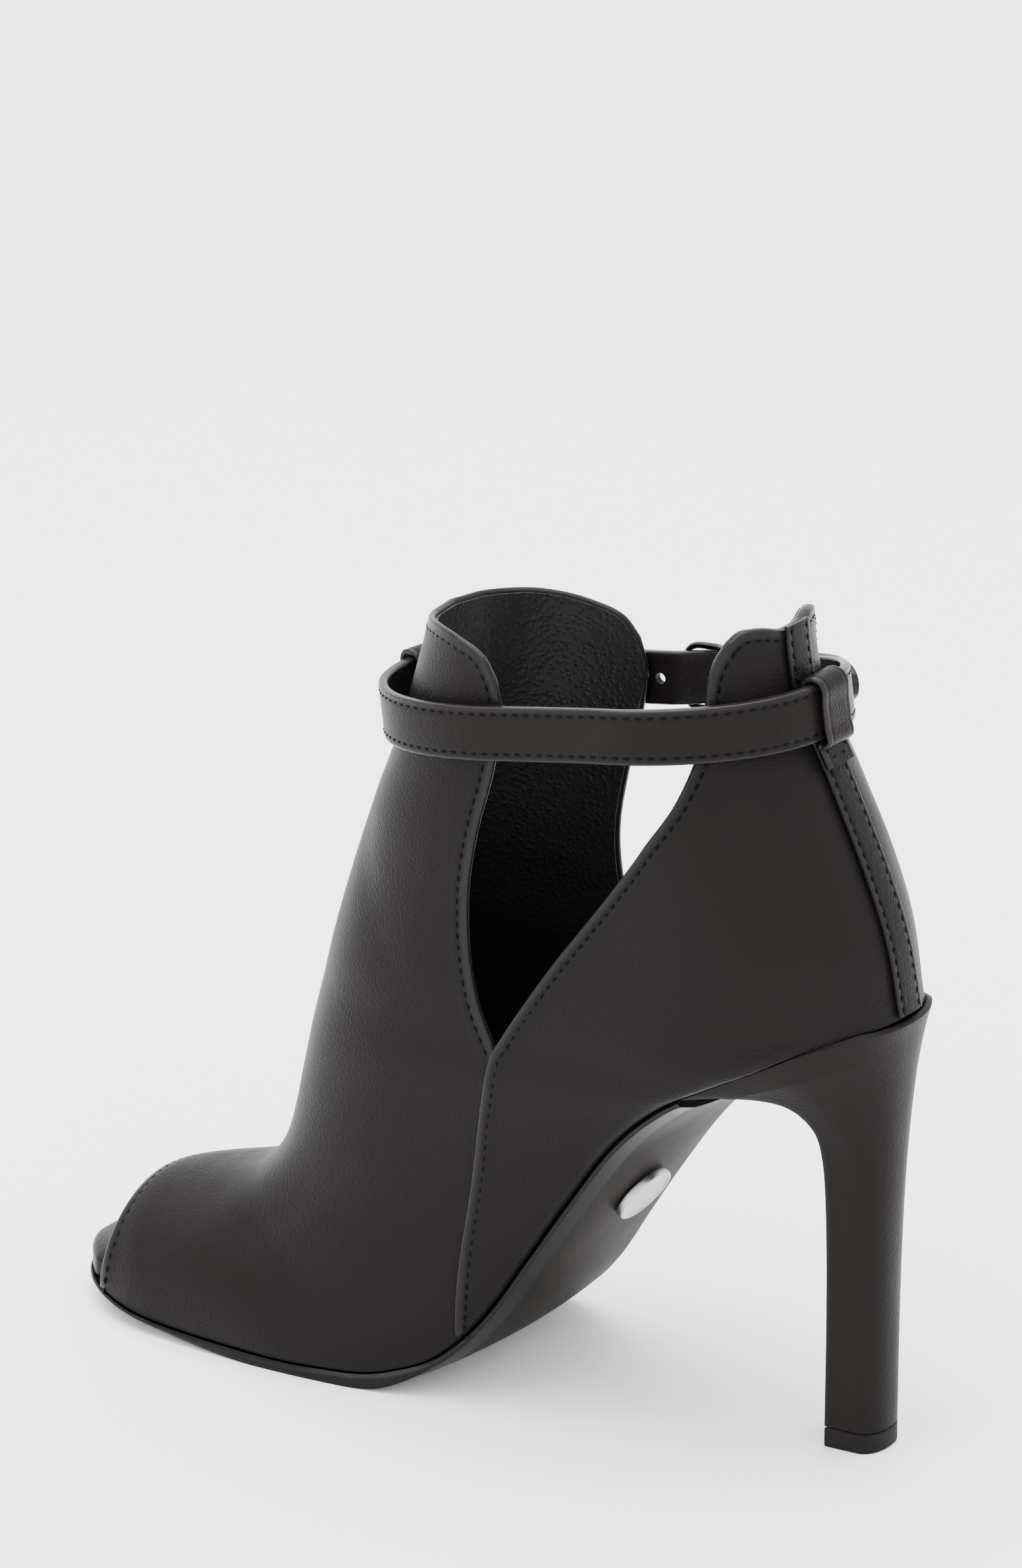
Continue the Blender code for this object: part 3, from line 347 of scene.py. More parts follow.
    def section(self, j: Array) -> dict[str, object]:
        """Section line at rows of the table.

        Args:
            j: Rows, whole or between.

        Returns:
            Ends in side view, width, belly and crown lengths, and the sole edge's values.
        """
        table = self.section_table
        rows = np.arange(len(table), dtype=float)
        back_z, front_y, front_z, width, belly, crown = (smooth(rows, table[:, i], j) for i in range(1, 7))
        turn = np.clip(j - self.seat_row, 0, 1)
        turn = turn * (1 + self.seat_pace - self.seat_pace * turn)
        seat_y = self.start + self.seat_round * (1 - np.cos(turn * math.pi / 2))
        foot_rows = np.arange(self.seat_row + 1, len(table), dtype=float)
        foot_values = table[self.seat_row + 1 :, 0] * self.length
        foot_values[0] = self.start + self.seat_round
        foot_y = smooth(foot_rows, foot_values, np.maximum(j, self.seat_row + 1))
        shaft = slice(0, self.seat_row + 1)
        shaft_j = np.minimum(j, self.seat_row)
        shaft_y = smooth(rows[shaft], table[shaft, 0] * self.length, shaft_j)
        shaft_z = smooth(rows[shaft], table[shaft, 1] * self.collar_height, shaft_j)
        lower_y = np.where(j <= self.seat_row, shaft_y, np.where(j <= self.seat_row + 1, seat_y, foot_y))
        edge = self.edge(lower_y)
        return {
            "back": (lower_y, np.where(j <= self.seat_row, shaft_z, edge[0])),
            "front": (front_y * self.length, front_z * self.collar_height),
            "width": width * self.half_instep,
            "belly": belly * self.half_instep,
            "crown": crown * self.half_instep,
            "edge": edge,
        }

    def point(self, j: Array, a: Array, side: Side) -> Array:
        """Points of the last.

        Args:
            j: Section rows.
            a: Shares from the lower end, 0, to the ridge, 1.
            side: Side of the foot.

        Returns:
            Points; the half width rises along a belly round and falls along a crown round.
        """
        sign = side.value
        j, a = np.broadcast_arrays(np.asarray(j, float), np.asarray(a, float))
        row = self.section(j)
        share = (1 - np.cos(math.pi * np.clip(a, 0, 1))) / 2
        back_y, back_z = row["back"]
        front_y, front_z = row["front"]
        run = np.hypot(front_y - back_y, front_z - back_z)
        reach = np.where(j > self.seat_row, row["edge"][1] if sign < 0 else row["edge"][2], 0.0)
        belly = quarter_round(share * run / row["belly"])
        crown = quarter_round((1 - share) * run / row["crown"], 2.1)
        y = back_y + share * (front_y - back_y)
        seat_belly = self.section_table[self.seat_row, 5] * self.half_instep
        plan = np.where(j > self.seat_row, quarter_round((y - self.start) / seat_belly), 1.0)
        low = np.where(j > self.seat_row, quarter_round((back_y - self.start) / seat_belly), 1.0)
        half = (row["width"] * plan - (row["width"] * low - reach) * (1 - belly)) * crown
        on_foot = np.clip(j - self.seat_row, 0.0, 1.0)
        shaft = np.clip(1 - j / self.seat_row, 0, 1) * (half / self.half_instep) ** 2
        lean = self.medial_rise * shaft if sign < 0 else -self.lateral_drop * shaft
        z = back_z + share * (front_z - back_z) - row["edge"][3] * on_foot * (1 - share) ** 2 * sign + lean
        return np.stack([sign * half + row["edge"][4] * on_foot, y, z], axis=-1)

    def outward(self, base: Array, side: Side) -> tuple[Array, Array]:
        """Outward direction level with the sole beside points of the last.

        Args:
            base: Points of the last.
            side: Side of the foot.

        Returns:
            Directions and heights over the sole edge.
        """
        sign = side.value
        step = 5e-5
        place = np.clip(base[..., 1], self.start, self.length - 1e-3)
        low, high = np.clip(place - step, self.start, None), place + step
        reaches = [self.edge(y)[1 if sign < 0 else 2] for y in (low, high)]
        slope = (reaches[1] - reaches[0]) / (high - low)
        point, forward, _ = self.profile(place)
        back = -slope * forward[..., 0]
        way = np.stack(
            [sign * np.ones_like(slope), back * forward[..., 0], back * forward[..., 1]], axis=-1
        )
        level = point[..., 1] - sign * self.edge(place)[3]
        return unit(way), np.clip(base[..., 2] - level, 0, None)

    def frame_at(self, j: Array, a: Array, side: Side) -> tuple[Array, Array]:
        """Points of the last with their outward normals.

        Args:
            j: Section rows.
            a: Shares along the section lines.
            side: Side of the foot.

        Returns:
            Points and normals; close to the sole edge the normals turn level with the sole.
        """
        j, a = np.broadcast_arrays(np.asarray(j, float), np.asarray(a, float))
        step = 1e-3
        low_j, high_j = np.clip(j - step, 0, None), np.clip(j + step, None, self.last_row)
        low_a, high_a = np.clip(a - step, 0, 1), np.clip(a + step, 0, 1)
        along = self.point(high_j, a, side) - self.point(low_j, a, side)
        up = self.point(j, high_a, side) - self.point(j, low_a, side)
        normal = unit(np.cross(along, up) * side.value)
        base = self.point(j, a, side)
        way, above = self.outward(base, side)
        weight = np.exp(-above / self.edge_blend)[..., None]
        normal = normal * (1 - weight) + way * weight
        seam = (a >= 1 - 1e-6) | ((a <= 1e-6) & (j <= self.seat_row + 1e-6))
        normal[..., 0] = np.where(seam, 0.0, normal[..., 0])
        return base, unit(normal)

    def skin(self, grid: Array, side: Side, lift: Array) -> Array:
        """Points that stand off the last.

        Args:
            grid: Section rows and shares in the last axis.
            side: Side of the foot.
            lift: Distance from the last.

        Returns:
            Points.
        """
        base, normal = self.frame_at(grid[..., 0], grid[..., 1], side)
        return base + normal * np.broadcast_to(np.asarray(lift, float), base.shape[:-1])[..., None]

    def chart(self, points: Array) -> Array:
        """Section rows and shares of side view points.

        Args:
            points: Points as y and z.

        Returns:
            Row and share where the first section line runs through each point.
        """
        rows = np.linspace(0, self.last_row, 1601)
        row = self.section(rows)
        back = np.stack(row["back"], axis=-1)
        reach = np.stack(row["front"], axis=-1) - back
        off = points[:, None] - back[None]
        side = reach[:, 0] * off[..., 1] - reach[:, 1] * off[..., 0]
        share = (off * reach).sum(axis=-1) / (reach**2).sum(axis=-1)
        inside = (share > -0.2) & (share < 1.2)
        cross = (side[:, :-1] * side[:, 1:] <= 0) & inside[:, :-1]
        near = np.argmin(np.abs(side[:, :-1]) + 1e3 * ~inside[:, :-1], axis=1)
        i = np.where(cross.any(axis=1), cross.argmax(axis=1), near)
        k = np.arange(len(points))
        gap = side[k, i] - side[k, i + 1]
        blend = np.where(cross.any(axis=1) & (gap != 0), side[k, i] / np.where(gap == 0, 1, gap), 0.0)
        h = np.clip(share[k, i] + blend * (share[k, i + 1] - share[k, i]), 0, 1)
        return np.stack([rows[i] + blend * rows[1], np.arccos(1 - 2 * h) / math.pi], axis=-1)

    def line(self, table: Array, count: int) -> Array:
        """Leather edge from its side view table.

        Args:
            table: Places over the length and heights over the collar height.
            count: Points on the line.

        Returns:
            Section rows and shares.
        """
        return self.chart(spaced(table * np.array([self.length, self.collar_height]), count))

    def foot_line(self, first: float, last: float, count: int) -> Array:
        """Sole edge between two section rows.

        Args:
            first: First row.
            last: Last row.
            count: Points on the line.

        Returns:
            Section rows with share 0, closer together round the seat.
        """
        rows = np.linspace(self.seat_row, self.last_row, 801)
        run = self.section(rows)["back"][0]
        fine = np.linspace(*np.interp([first, last], rows, run), 601)
        seat = np.arccos(np.clip(1 - (fine - self.start) / self.seat_round, 0, 1))
        measure = fine / self.length + seat * 0.12
        places = np.interp(np.linspace(measure[0], measure[-1], count), measure, fine)
        return np.stack([np.interp(places, run, rows), np.zeros(count)], axis=-1)

    def row_at(self, height: Array, a: float, side: Side) -> Array:
        """Section row where the line of one share has a height.

        Args:
            height: Heights on the shaft.
            a: Share along the section lines.
            side: Side of the foot.

        Returns:
            Section rows.
        """
        rows = np.linspace(0, self.last_row * 0.4, 161)
        heights = self.point(rows, np.full_like(rows, a), side)[:, 2]
        return np.interp(-np.asarray(height), -heights, rows)


@dataclass(frozen=True)
class Leather:
    """Thicknesses of the leather layers and of their clearance."""

    wall: float = 0.0020
    lap: float = 0.0011
    gap: float = 0.0003
    strip: float = 0.0011
    lining: float = 0.0004

    @property
    def quarter(self) -> float:
        """Stand-off of the quarter's outer face."""
        return self.wall + self.lap

    @property
    def over_strip(self) -> float:
        """Stand-off of the back strip's outer face."""
        return self.quarter + self.gap + self.strip


LAST = Last()
LEATHER = Leather()
BLACK = "black_leather"


class Wiring:
    """Adds nodes to a shader tree and fills their sockets."""

    def __init__(self, tree: bpy.types.NodeTree) -> None:
        """Take a tree.

        Args:
            tree: Tree of a material or group.
        """
        self.tree = tree

    def node(self, kind: str, inputs: dict | None = None, **values: object) -> bpy.types.Node:
        """Add a node.

        Args:
            kind: Node type.
            inputs: What its sockets take, by name or number.
            **values: Properties of the node.

        Returns:
            The node.
        """
        made = self.tree.nodes.new(kind)
        for key, value in values.items():
            setattr(made, key, value)
        self.feed(made, inputs or {})
        return made

    def feed(self, node: bpy.types.Node, inputs: dict) -> None:
        """Fill sockets of a node.

        Args:
            node: The node.
            inputs: Output sockets to link and values to set, by name or number of the socket.
        """
        for key, value in inputs.items():
            if isinstance(value, bpy.types.NodeSocket):
                self.tree.links.new(value, node.inputs[key])
            else:
                node.inputs[key].default_value = value


class GroupMaker(Wiring):
    """Builds a shader node group with named number sockets."""

    def __init__(self, name: str, inputs: dict[str, float], output: str) -> None:
        """Start a group.

        Args:
            name: Name of the group.
            inputs: Names and defaults of its inputs.
            output: Name of its output.
        """
        super().__init__(bpy.data.node_groups.new(name, "ShaderNodeTree"))
        for key, value in inputs.items():
            self.socket(key, "INPUT").default_value = value
        self.socket(output, "OUTPUT")
        self.entry = self.node("NodeGroupInput").outputs
        self.leave = self.node("NodeGroupOutput")
        self.place = self.node("ShaderNodeTexCoord").outputs["Object"]

    def socket(self, name: str, way: str) -> bpy.types.NodeTreeInterfaceSocket:
        """Add a named number socket.

        Args:
            name: Name of the socket.
            way: INPUT or OUTPUT.

        Returns:
            The socket.
        """
        return self.tree.interface.new_socket(name=name, in_out=way, socket_type="NodeSocketFloat")


def pebble_group() -> bpy.types.NodeTree:
    """Leather grain: soft cells with fine noise.

    Returns:
        Group with inputs Cells and Noise and output Height.
    """
    name = "leather_grain"
    if name in bpy.data.node_groups:
        return bpy.data.node_groups[name]
    maker = GroupMaker(name, {"Cells": 900.0, "Noise": 0.35}, "Height")
    place = maker.place
    warp = maker.node("ShaderNodeTexNoise", {"Vector": place, "Scale": 260.0, "Detail": 2.0})
    push = maker.node(
        "ShaderNodeVectorMath", {0: warp.outputs["Color"], 1: (0.0012, 0.0012, 0.0012), 2: place},
        operation="MULTIPLY_ADD")
    cells = maker.node(
        "ShaderNodeTexVoronoi",
        {"Vector": push.outputs[0], "Scale": maker.entry["Cells"], "Smoothness": 0.35},
        feature="SMOOTH_F1")
    fine = maker.node("ShaderNodeTexNoise", {"Vector": place, "Scale": 2600.0, "Detail": 3.0})
    shape = maker.node(
        "ShaderNodeMapRange",
        {"Value": cells.outputs["Distance"], "From Min": 0.05, "From Max": 0.62, "To Min": 1.0, "To Max": 0.0},
        interpolation_type="SMOOTHSTEP")
    mix = maker.node(
        "ShaderNodeMix",
        {"Factor": maker.entry["Noise"], 2: shape.outputs["Result"], 3: fine.outputs[0]},
        data_type="FLOAT")
    maker.feed(maker.leave, {"Height": mix.outputs[0]})
    return maker.tree


def cloud_group() -> bpy.types.NodeTree:
    """Slow change of gloss over a surface.

    Returns:
        Group with input Size and output Cloud.
    """
    name = "slow_change"
    if name in bpy.data.node_groups:
        return bpy.data.node_groups[name]
    maker = GroupMaker(name, {"Size": 30.0}, "Cloud")
    noise = maker.node(
        "ShaderNodeTexNoise", {"Vector": maker.place, "Scale": maker.entry["Size"], "Detail": 4.0})
    maker.feed(maker.leave, {"Cloud": noise.outputs[0]})
    return maker.tree


@dataclass(frozen=True)
class Finish:
    """One material: colour, gloss, grain and the look of its folded edges, whose lighter colour on the leathers
    is a painted highlight.
    """

    name: str
    base: tuple[float, float, float]
    rough: float
    metal: float = 0.0
    coat_rough: float = 0.2
    specular: float = 0.5
    grain: Grain = Grain.PLAIN
    cells: float = 900.0
    depth: float = 0.00003
    cloud: float = 0.06
    # Colour where the edge mark is 1: on the leathers lighter than base, a painted highlight; on the sole its
    # black edge.
    edge_base: tuple[float, float, float] | None = None
    edge_rough: float = 0.3
    edge_coat: float = 0.0

    def make(self) -> bpy.types.Material:
        """Build the material once.

        No finish is named like a slot of the record, because the solids' own materials are.

        Returns:
            The material.
        """
        if self.name in bpy.data.materials:
            return bpy.data.materials[self.name]
        made = bpy.data.materials.new(self.name)
        made.use_nodes = True
        wires = Wiring(made.node_tree)
        shader = made.node_tree.nodes["Principled BSDF"]
        wires.feed(shader, {
            "Base Color": (*self.base, 1), "Metallic": self.metal, "Coat Roughness": self.coat_rough,
            "Specular IOR Level": self.specular})
        cloud = wires.node("ShaderNodeGroup", node_tree=cloud_group())
        gloss = wires.node("ShaderNodeMapRange", {
            "Value": cloud.outputs["Cloud"], "From Min": 0.3, "From Max": 0.7,
            "To Min": self.rough - self.cloud, "To Max": self.rough + self.cloud})
        rough = gloss.outputs["Result"]
        if self.edge_base is not None:
            edge = wires.node("ShaderNodeAttribute", attribute_name="edge").outputs["Fac"]
            # Colour blends to edge_base by the edge mark: on the leathers a painted highlight along the edges.
            tint = wires.node(
                "ShaderNodeMix", {"Factor": edge, 6: (*self.base, 1), 7: (*self.edge_base, 1)},
                data_type="RGBA")
            blend = wires.node("ShaderNodeMix", {"Factor": edge, 2: rough, 3: self.edge_rough}, data_type="FLOAT")
            coat = wires.node("ShaderNodeMath", {0: edge, 1: self.edge_coat}, operation="MULTIPLY")
            wires.feed(shader, {"Base Color": tint.outputs[2], "Coat Weight": coat.outputs[0]})
            rough = blend.outputs[0]
        wires.feed(shader, {"Roughness": rough})
        if self.grain is not Grain.PLAIN:
            grain = wires.node("ShaderNodeGroup", {"Cells": self.cells}, node_tree=pebble_group())
            bump = wires.node(
                "ShaderNodeBump",
                {"Height": grain.outputs["Height"], "Strength": 1.0, "Distance": self.depth})
            wires.feed(shader, {"Normal": bump.outputs["Normal"]})
        return made


# The leathers' edge_base is lighter than their base: a painted highlight along folded edges, strap rims and heel
# corners.
SHELL_LEATHER = Finish(
    "boot_leather", (0.0068, 0.0058, 0.0057), 0.42, grain=Grain.FINE, cells=1300.0, depth=0.00009,
    edge_base=(0.0075, 0.0066, 0.0063), edge_rough=0.30, edge_coat=0.16, coat_rough=0.22, specular=0.045)
STRAP_LEATHER = Finish(
    "strap_leather", (0.0068, 0.0058, 0.0055), 0.40, grain=Grain.FINE, cells=1500.0, depth=0.00008,
    edge_base=(0.010, 0.0088, 0.0083), edge_rough=0.28, edge_coat=0.22, coat_rough=0.2, specular=0.05)
HEEL_LEATHER = Finish(
    "heel_leather", (0.0076, 0.0066, 0.0063), 0.40, grain=Grain.FINE, cells=1500.0, depth=0.00007,
    edge_base=(0.009, 0.008, 0.0075), edge_rough=0.28, edge_coat=0.15, coat_rough=0.2, specular=0.045)
LINING = Finish(
    "lining", (0.0080, 0.0073, 0.0070), 0.50, grain=Grain.PEBBLE, cells=850.0, depth=0.00016, specular=0.25)
FOOTBED = Finish(
    "footbed", (0.0032, 0.0029, 0.0029), 0.38, grain=Grain.FINE, cells=1100.0, depth=0.00006, specular=0.12)
THREAD = Finish(
    "thread", (0.0012, 0.0011, 0.0011), 0.45, grain=Grain.THREAD, cells=3000.0, depth=0.00006,
    specular=0.05)
SOLE = Finish(
    "sole_rubber", (0.0062, 0.0048, 0.0040), 0.45, grain=Grain.SATIN, cells=1200.0, depth=0.00001,
    edge_base=(0.0020, 0.0018, 0.0018), edge_rough=0.30, edge_coat=0.24, coat_rough=0.12, specular=0.022)
LIFT = Finish(
    "lift", (0.0050, 0.0043, 0.0040), 0.6, grain=Grain.FINE, cells=1900.0, depth=0.00006, specular=0.10)
STEEL = Finish("steel", (0.40, 0.39, 0.38), 0.32, metal=1.0, cloud=0.03)
DARK_STEEL = Finish("dark_steel", (0.05, 0.05, 0.052), 0.2, metal=1.0, cloud=0.03)
FLOOR_PAPER = Finish("floor_paper", (0.93, 0.93, 0.93), 0.9, specular=0.1, cloud=0.0)


def placed(name: str, data: bpy.types.ID) -> bpy.types.Object:
    """Put an object in the scene.

    Args:
        name: Name of the object.
        data: Its mesh, light or camera.

    Returns:
        The object.
    """
    item = bpy.data.objects.new(name, data)
    bpy.context.scene.collection.objects.link(item)
    return item


class Shell:
    """Collects grids of points and turns them into one welded, smooth object."""

    def __init__(self) -> None:
        """Start with no points."""
        self.points: list[Array] = []
        self.marks: list[Array] = []
        self.faces: list[Array] = []
        self.count = 0

    def grid(self, rows: Array, mark: Array | float = 0.0) -> None:
        """Add a grid of quads.

        Args:
            rows: Points by row and column.
            mark: Edge mark of the points.
        """
        high, wide = rows.shape[:2]
        index = np.arange(high * wide).reshape(high, wide) + self.count
        quads = np.stack([index[:-1, :-1], index[:-1, 1:], index[1:, 1:], index[1:, :-1]], axis=-1)
        self.points.append(rows.reshape(-1, 3))
        self.marks.append(np.broadcast_to(np.asarray(mark, float), (high, wide)).reshape(-1))
        self.faces.append(quads.reshape(-1, 4))
        self.count += high * wide

    def tube(self, rings: Array, mark: Array | float = 0.0, loop: bool = False) -> None:
        """Add a closed tube of rings, capped unless it is a loop.

        Args:
            rings: Points by ring and by place round the ring, the first not repeated.
            mark: Edge mark of the points.
            loop: True if the last ring joins the first.
        """
        mark = np.broadcast_to(np.asarray(mark, float), rings.shape[:2])
        rings = np.concatenate((rings, rings[:, :1]), axis=1)
        mark = np.concatenate((mark, mark[:, :1]), axis=1)
        if loop:
            rings = np.concatenate((rings, rings[:1]))
            mark = np.concatenate((mark, mark[:1]))
        self.grid(rings, mark)
        if not loop:
            for end in (0, -1):
                middle = rings[end, :-1].mean(axis=0)
                cap = np.stack([rings[end], np.broadcast_to(middle, rings[end].shape)])
                self.grid(cap, np.stack([mark[end], mark[end]]))

    def build(
        self, name: str, finish: Finish, nodes: tuple[str, ...], slot: str, angle: float = 50.0
    ) -> bpy.types.Object:
        """Weld the grids and make the object in the row frame.

        Args:
            name: Name of the object.
            finish: Its material.
            nodes: CAD nodes that it stands for.
            slot: The record's material slot; not used.
            angle: Sharp edge angle in degrees.

        Returns:
            The object.
        """
        points = np.concatenate(self.points) + PLACE
        data = bpy.data.meshes.new(name)
        data.from_pydata(points.tolist(), [], np.concatenate(self.faces).tolist())
        mark = data.attributes.new("edge", "FLOAT", "POINT")
        mark.data.foreach_set("value", np.concatenate(self.marks).astype(np.float32))
        mesh = bmesh.new()
        mesh.from_mesh(data)
        bmesh.ops.remove_doubles(mesh, verts=mesh.verts, dist=6e-6)
        bmesh.ops.dissolve_degenerate(mesh, edges=mesh.edges, dist=1e-7)
        bmesh.ops.recalc_face_normals(mesh, faces=mesh.faces)
        mesh.to_mesh(data)
        mesh.free()
        data.shade_smooth()
        data.set_sharp_from_angle(angle=math.radians(angle))
        item = placed(name, data)
        data.materials.append(finish.make())
        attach(item, "root")
        if nodes:
            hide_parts(*nodes)
        LOG.info("%s: %d faces", name, len(data.polygons))
        return item


def rim(first: Array, second: Array, outward: Array, bulge: float, steps: int = 6) -> Array:
    """Rounded edge between two lines.

    Args:
        first: Line on the outer face.
        second: Line on the inner face.
        outward: Directions out of the leather's edge.
        bulge: How far the round stands out.
        steps: Bands of the round.

    Returns:
        Grid of half ellipses from the first line to the second.
    """
    turn = np.linspace(0, math.pi, steps + 1)[:, None, None]
    middle, half = (first + second) / 2, (first - second) / 2
    return middle + half * np.cos(turn) + outward * bulge * np.sin(turn)


def distance_to(points: Array, line: Array) -> Array:
    """Distance of points from a line.

    Args:
        points: Points in any array.
        line: Points of the line, close together.

    Returns:
        Distance to the nearest point of the line.
    """
    flat = points.reshape(-1, 3)
    best = np.full(len(flat), 1e9)
    for part in np.array_split(line, max(1, len(line) // 60)):
        gaps = np.linalg.norm(flat[:, None] - part[None], axis=-1)
        best = np.minimum(best, gaps.min(axis=1))
    return best.reshape(points.shape[:-1])


def fine_line(line: Array, pitch: float = 0.0004) -> Array:
    """Points close together along a line.

    Args:
        line: Points of the line.
        pitch: Distance between the new points.

    Returns:
        Points.
    """
    run = run_of(line)
    return read_at(np.linspace(0, run[-1], max(2, int(run[-1] / pitch))), run, line)


@dataclass(frozen=True)
class Stitch:
    """Thread of a topstitch and the fold that it holds down."""

    inset: float = 0.0019
    pitch: float = 0.0027
    length: float = 0.0019
    radius: float = 0.00026
    groove: float = 0.00020
    groove_width: float = 0.00045
    fold: float = 0.00022
    fold_width: float = 0.0036

    def relief(self, distance: Array) -> Array:
        """Rise of a folded edge over the plain leather.

        Args:
            distance: Distance from the edge.

        Returns:
            Rise: a soft fold less a narrow groove at the inset.
        """
        fold = self.fold * (1 - ease((distance - self.inset * 0.6) / self.fold_width))
        return fold - self.groove * np.exp(-(((distance - self.inset) / self.groove_width) ** 2))

    def mark(self, distance: Array) -> Array:
        """Edge mark: 1 at the fold, 0 past the stitch; it makes the leather glossier there and lighter, the
        lighter colour a painted highlight.

        Args:
            distance: Distance from the edge.

        Returns:
            Marks.
        """
        return 1 - ease(distance / (self.inset * 0.8))

    def thread(self, shell: Shell, line: Array, normals: Array) -> None:
        """Add stitches along a line.

        Args:
            shell: Shell that takes the stitches.
            line: Points of the seam on the leather.
            normals: Outward normals there.
        """
        run = run_of(line)
        count = max(1, int(run[-1] / self.pitch))
        middles = (np.arange(count) + 0.5) * run[-1] / count
        rings = np.array([-1.0, -0.8, -0.35, 0.35, 0.8, 1.0])
        sizes = np.array([0.15, 0.75, 1.0, 1.0, 0.75, 0.15]) * self.radius
        dips = np.array([-1.3, -0.3, 0.35, 0.35, -0.3, -1.3]) * self.radius
        places = middles[:, None] + rings[None] * self.length / 2
        centre = read_at(places, run, line)
        up = unit(read_at(places, run, normals))
        along = unit(np.gradient(centre, axis=1))
        cross = unit(np.cross(up, along))
        turn = np.arange(7) / 6 * 2 * math.pi
        size, dip = sizes[None, :, None, None], dips[None, :, None, None]
        tube = (
            centre[:, :, None]
            + up[:, :, None] * (dip + size * np.sin(turn)[:, None])
            + cross[:, :, None] * size * np.cos(turn)[:, None]
        )
        index = np.arange(tube[..., 0].size).reshape(tube.shape[:3]) + shell.count
        quads = np.stack(
            [index[:, :-1, :-1], index[:, :-1, 1:], index[:, 1:, 1:], index[:, 1:, :-1]], axis=-1
        )
        shell.points.append(tube.reshape(-1, 3))
        shell.marks.append(np.zeros(index.size))
        shell.faces.append(quads.reshape(-1, 4))
        shell.count += index.size


@dataclass(frozen=True)
class Border:
    """Edge of a leather piece: its place on the last and its line, normals and inward direction."""

    line: Array
    normal: Array
    inward: Array

    def inset(self, stitch: Stitch, lift: float = 0.0) -> tuple[Array, Array]:
        """Seam line beside the edge.

        Args:
            stitch: Its inset is the distance from the edge.
            lift: Extra height over the leather.

        Returns:
            Points and normals of the seam.
        """
        height = float(stitch.relief(np.array(stitch.inset))) + lift
        return self.line + self.inward * stitch.inset + self.normal * height, self.normal


def border(line: Array, beside: Array, normal: Array) -> Border:
    """Edge of a grid as a Border.

    Args:
        line: Points of the edge.
        beside: Points of the next line inside the piece.
        normal: Outward normals of the leather along the edge.

    Returns:
        The border; its inward direction lies in the leather, across the edge.
    """
    along = unit(np.gradient(line, axis=0))
    inward = np.cross(normal, along)
    flip = np.sign((inward * (beside - line)).sum(axis=-1, keepdims=True))
    return Border(line, normal, unit(inward * np.where(flip == 0, 1, flip)))


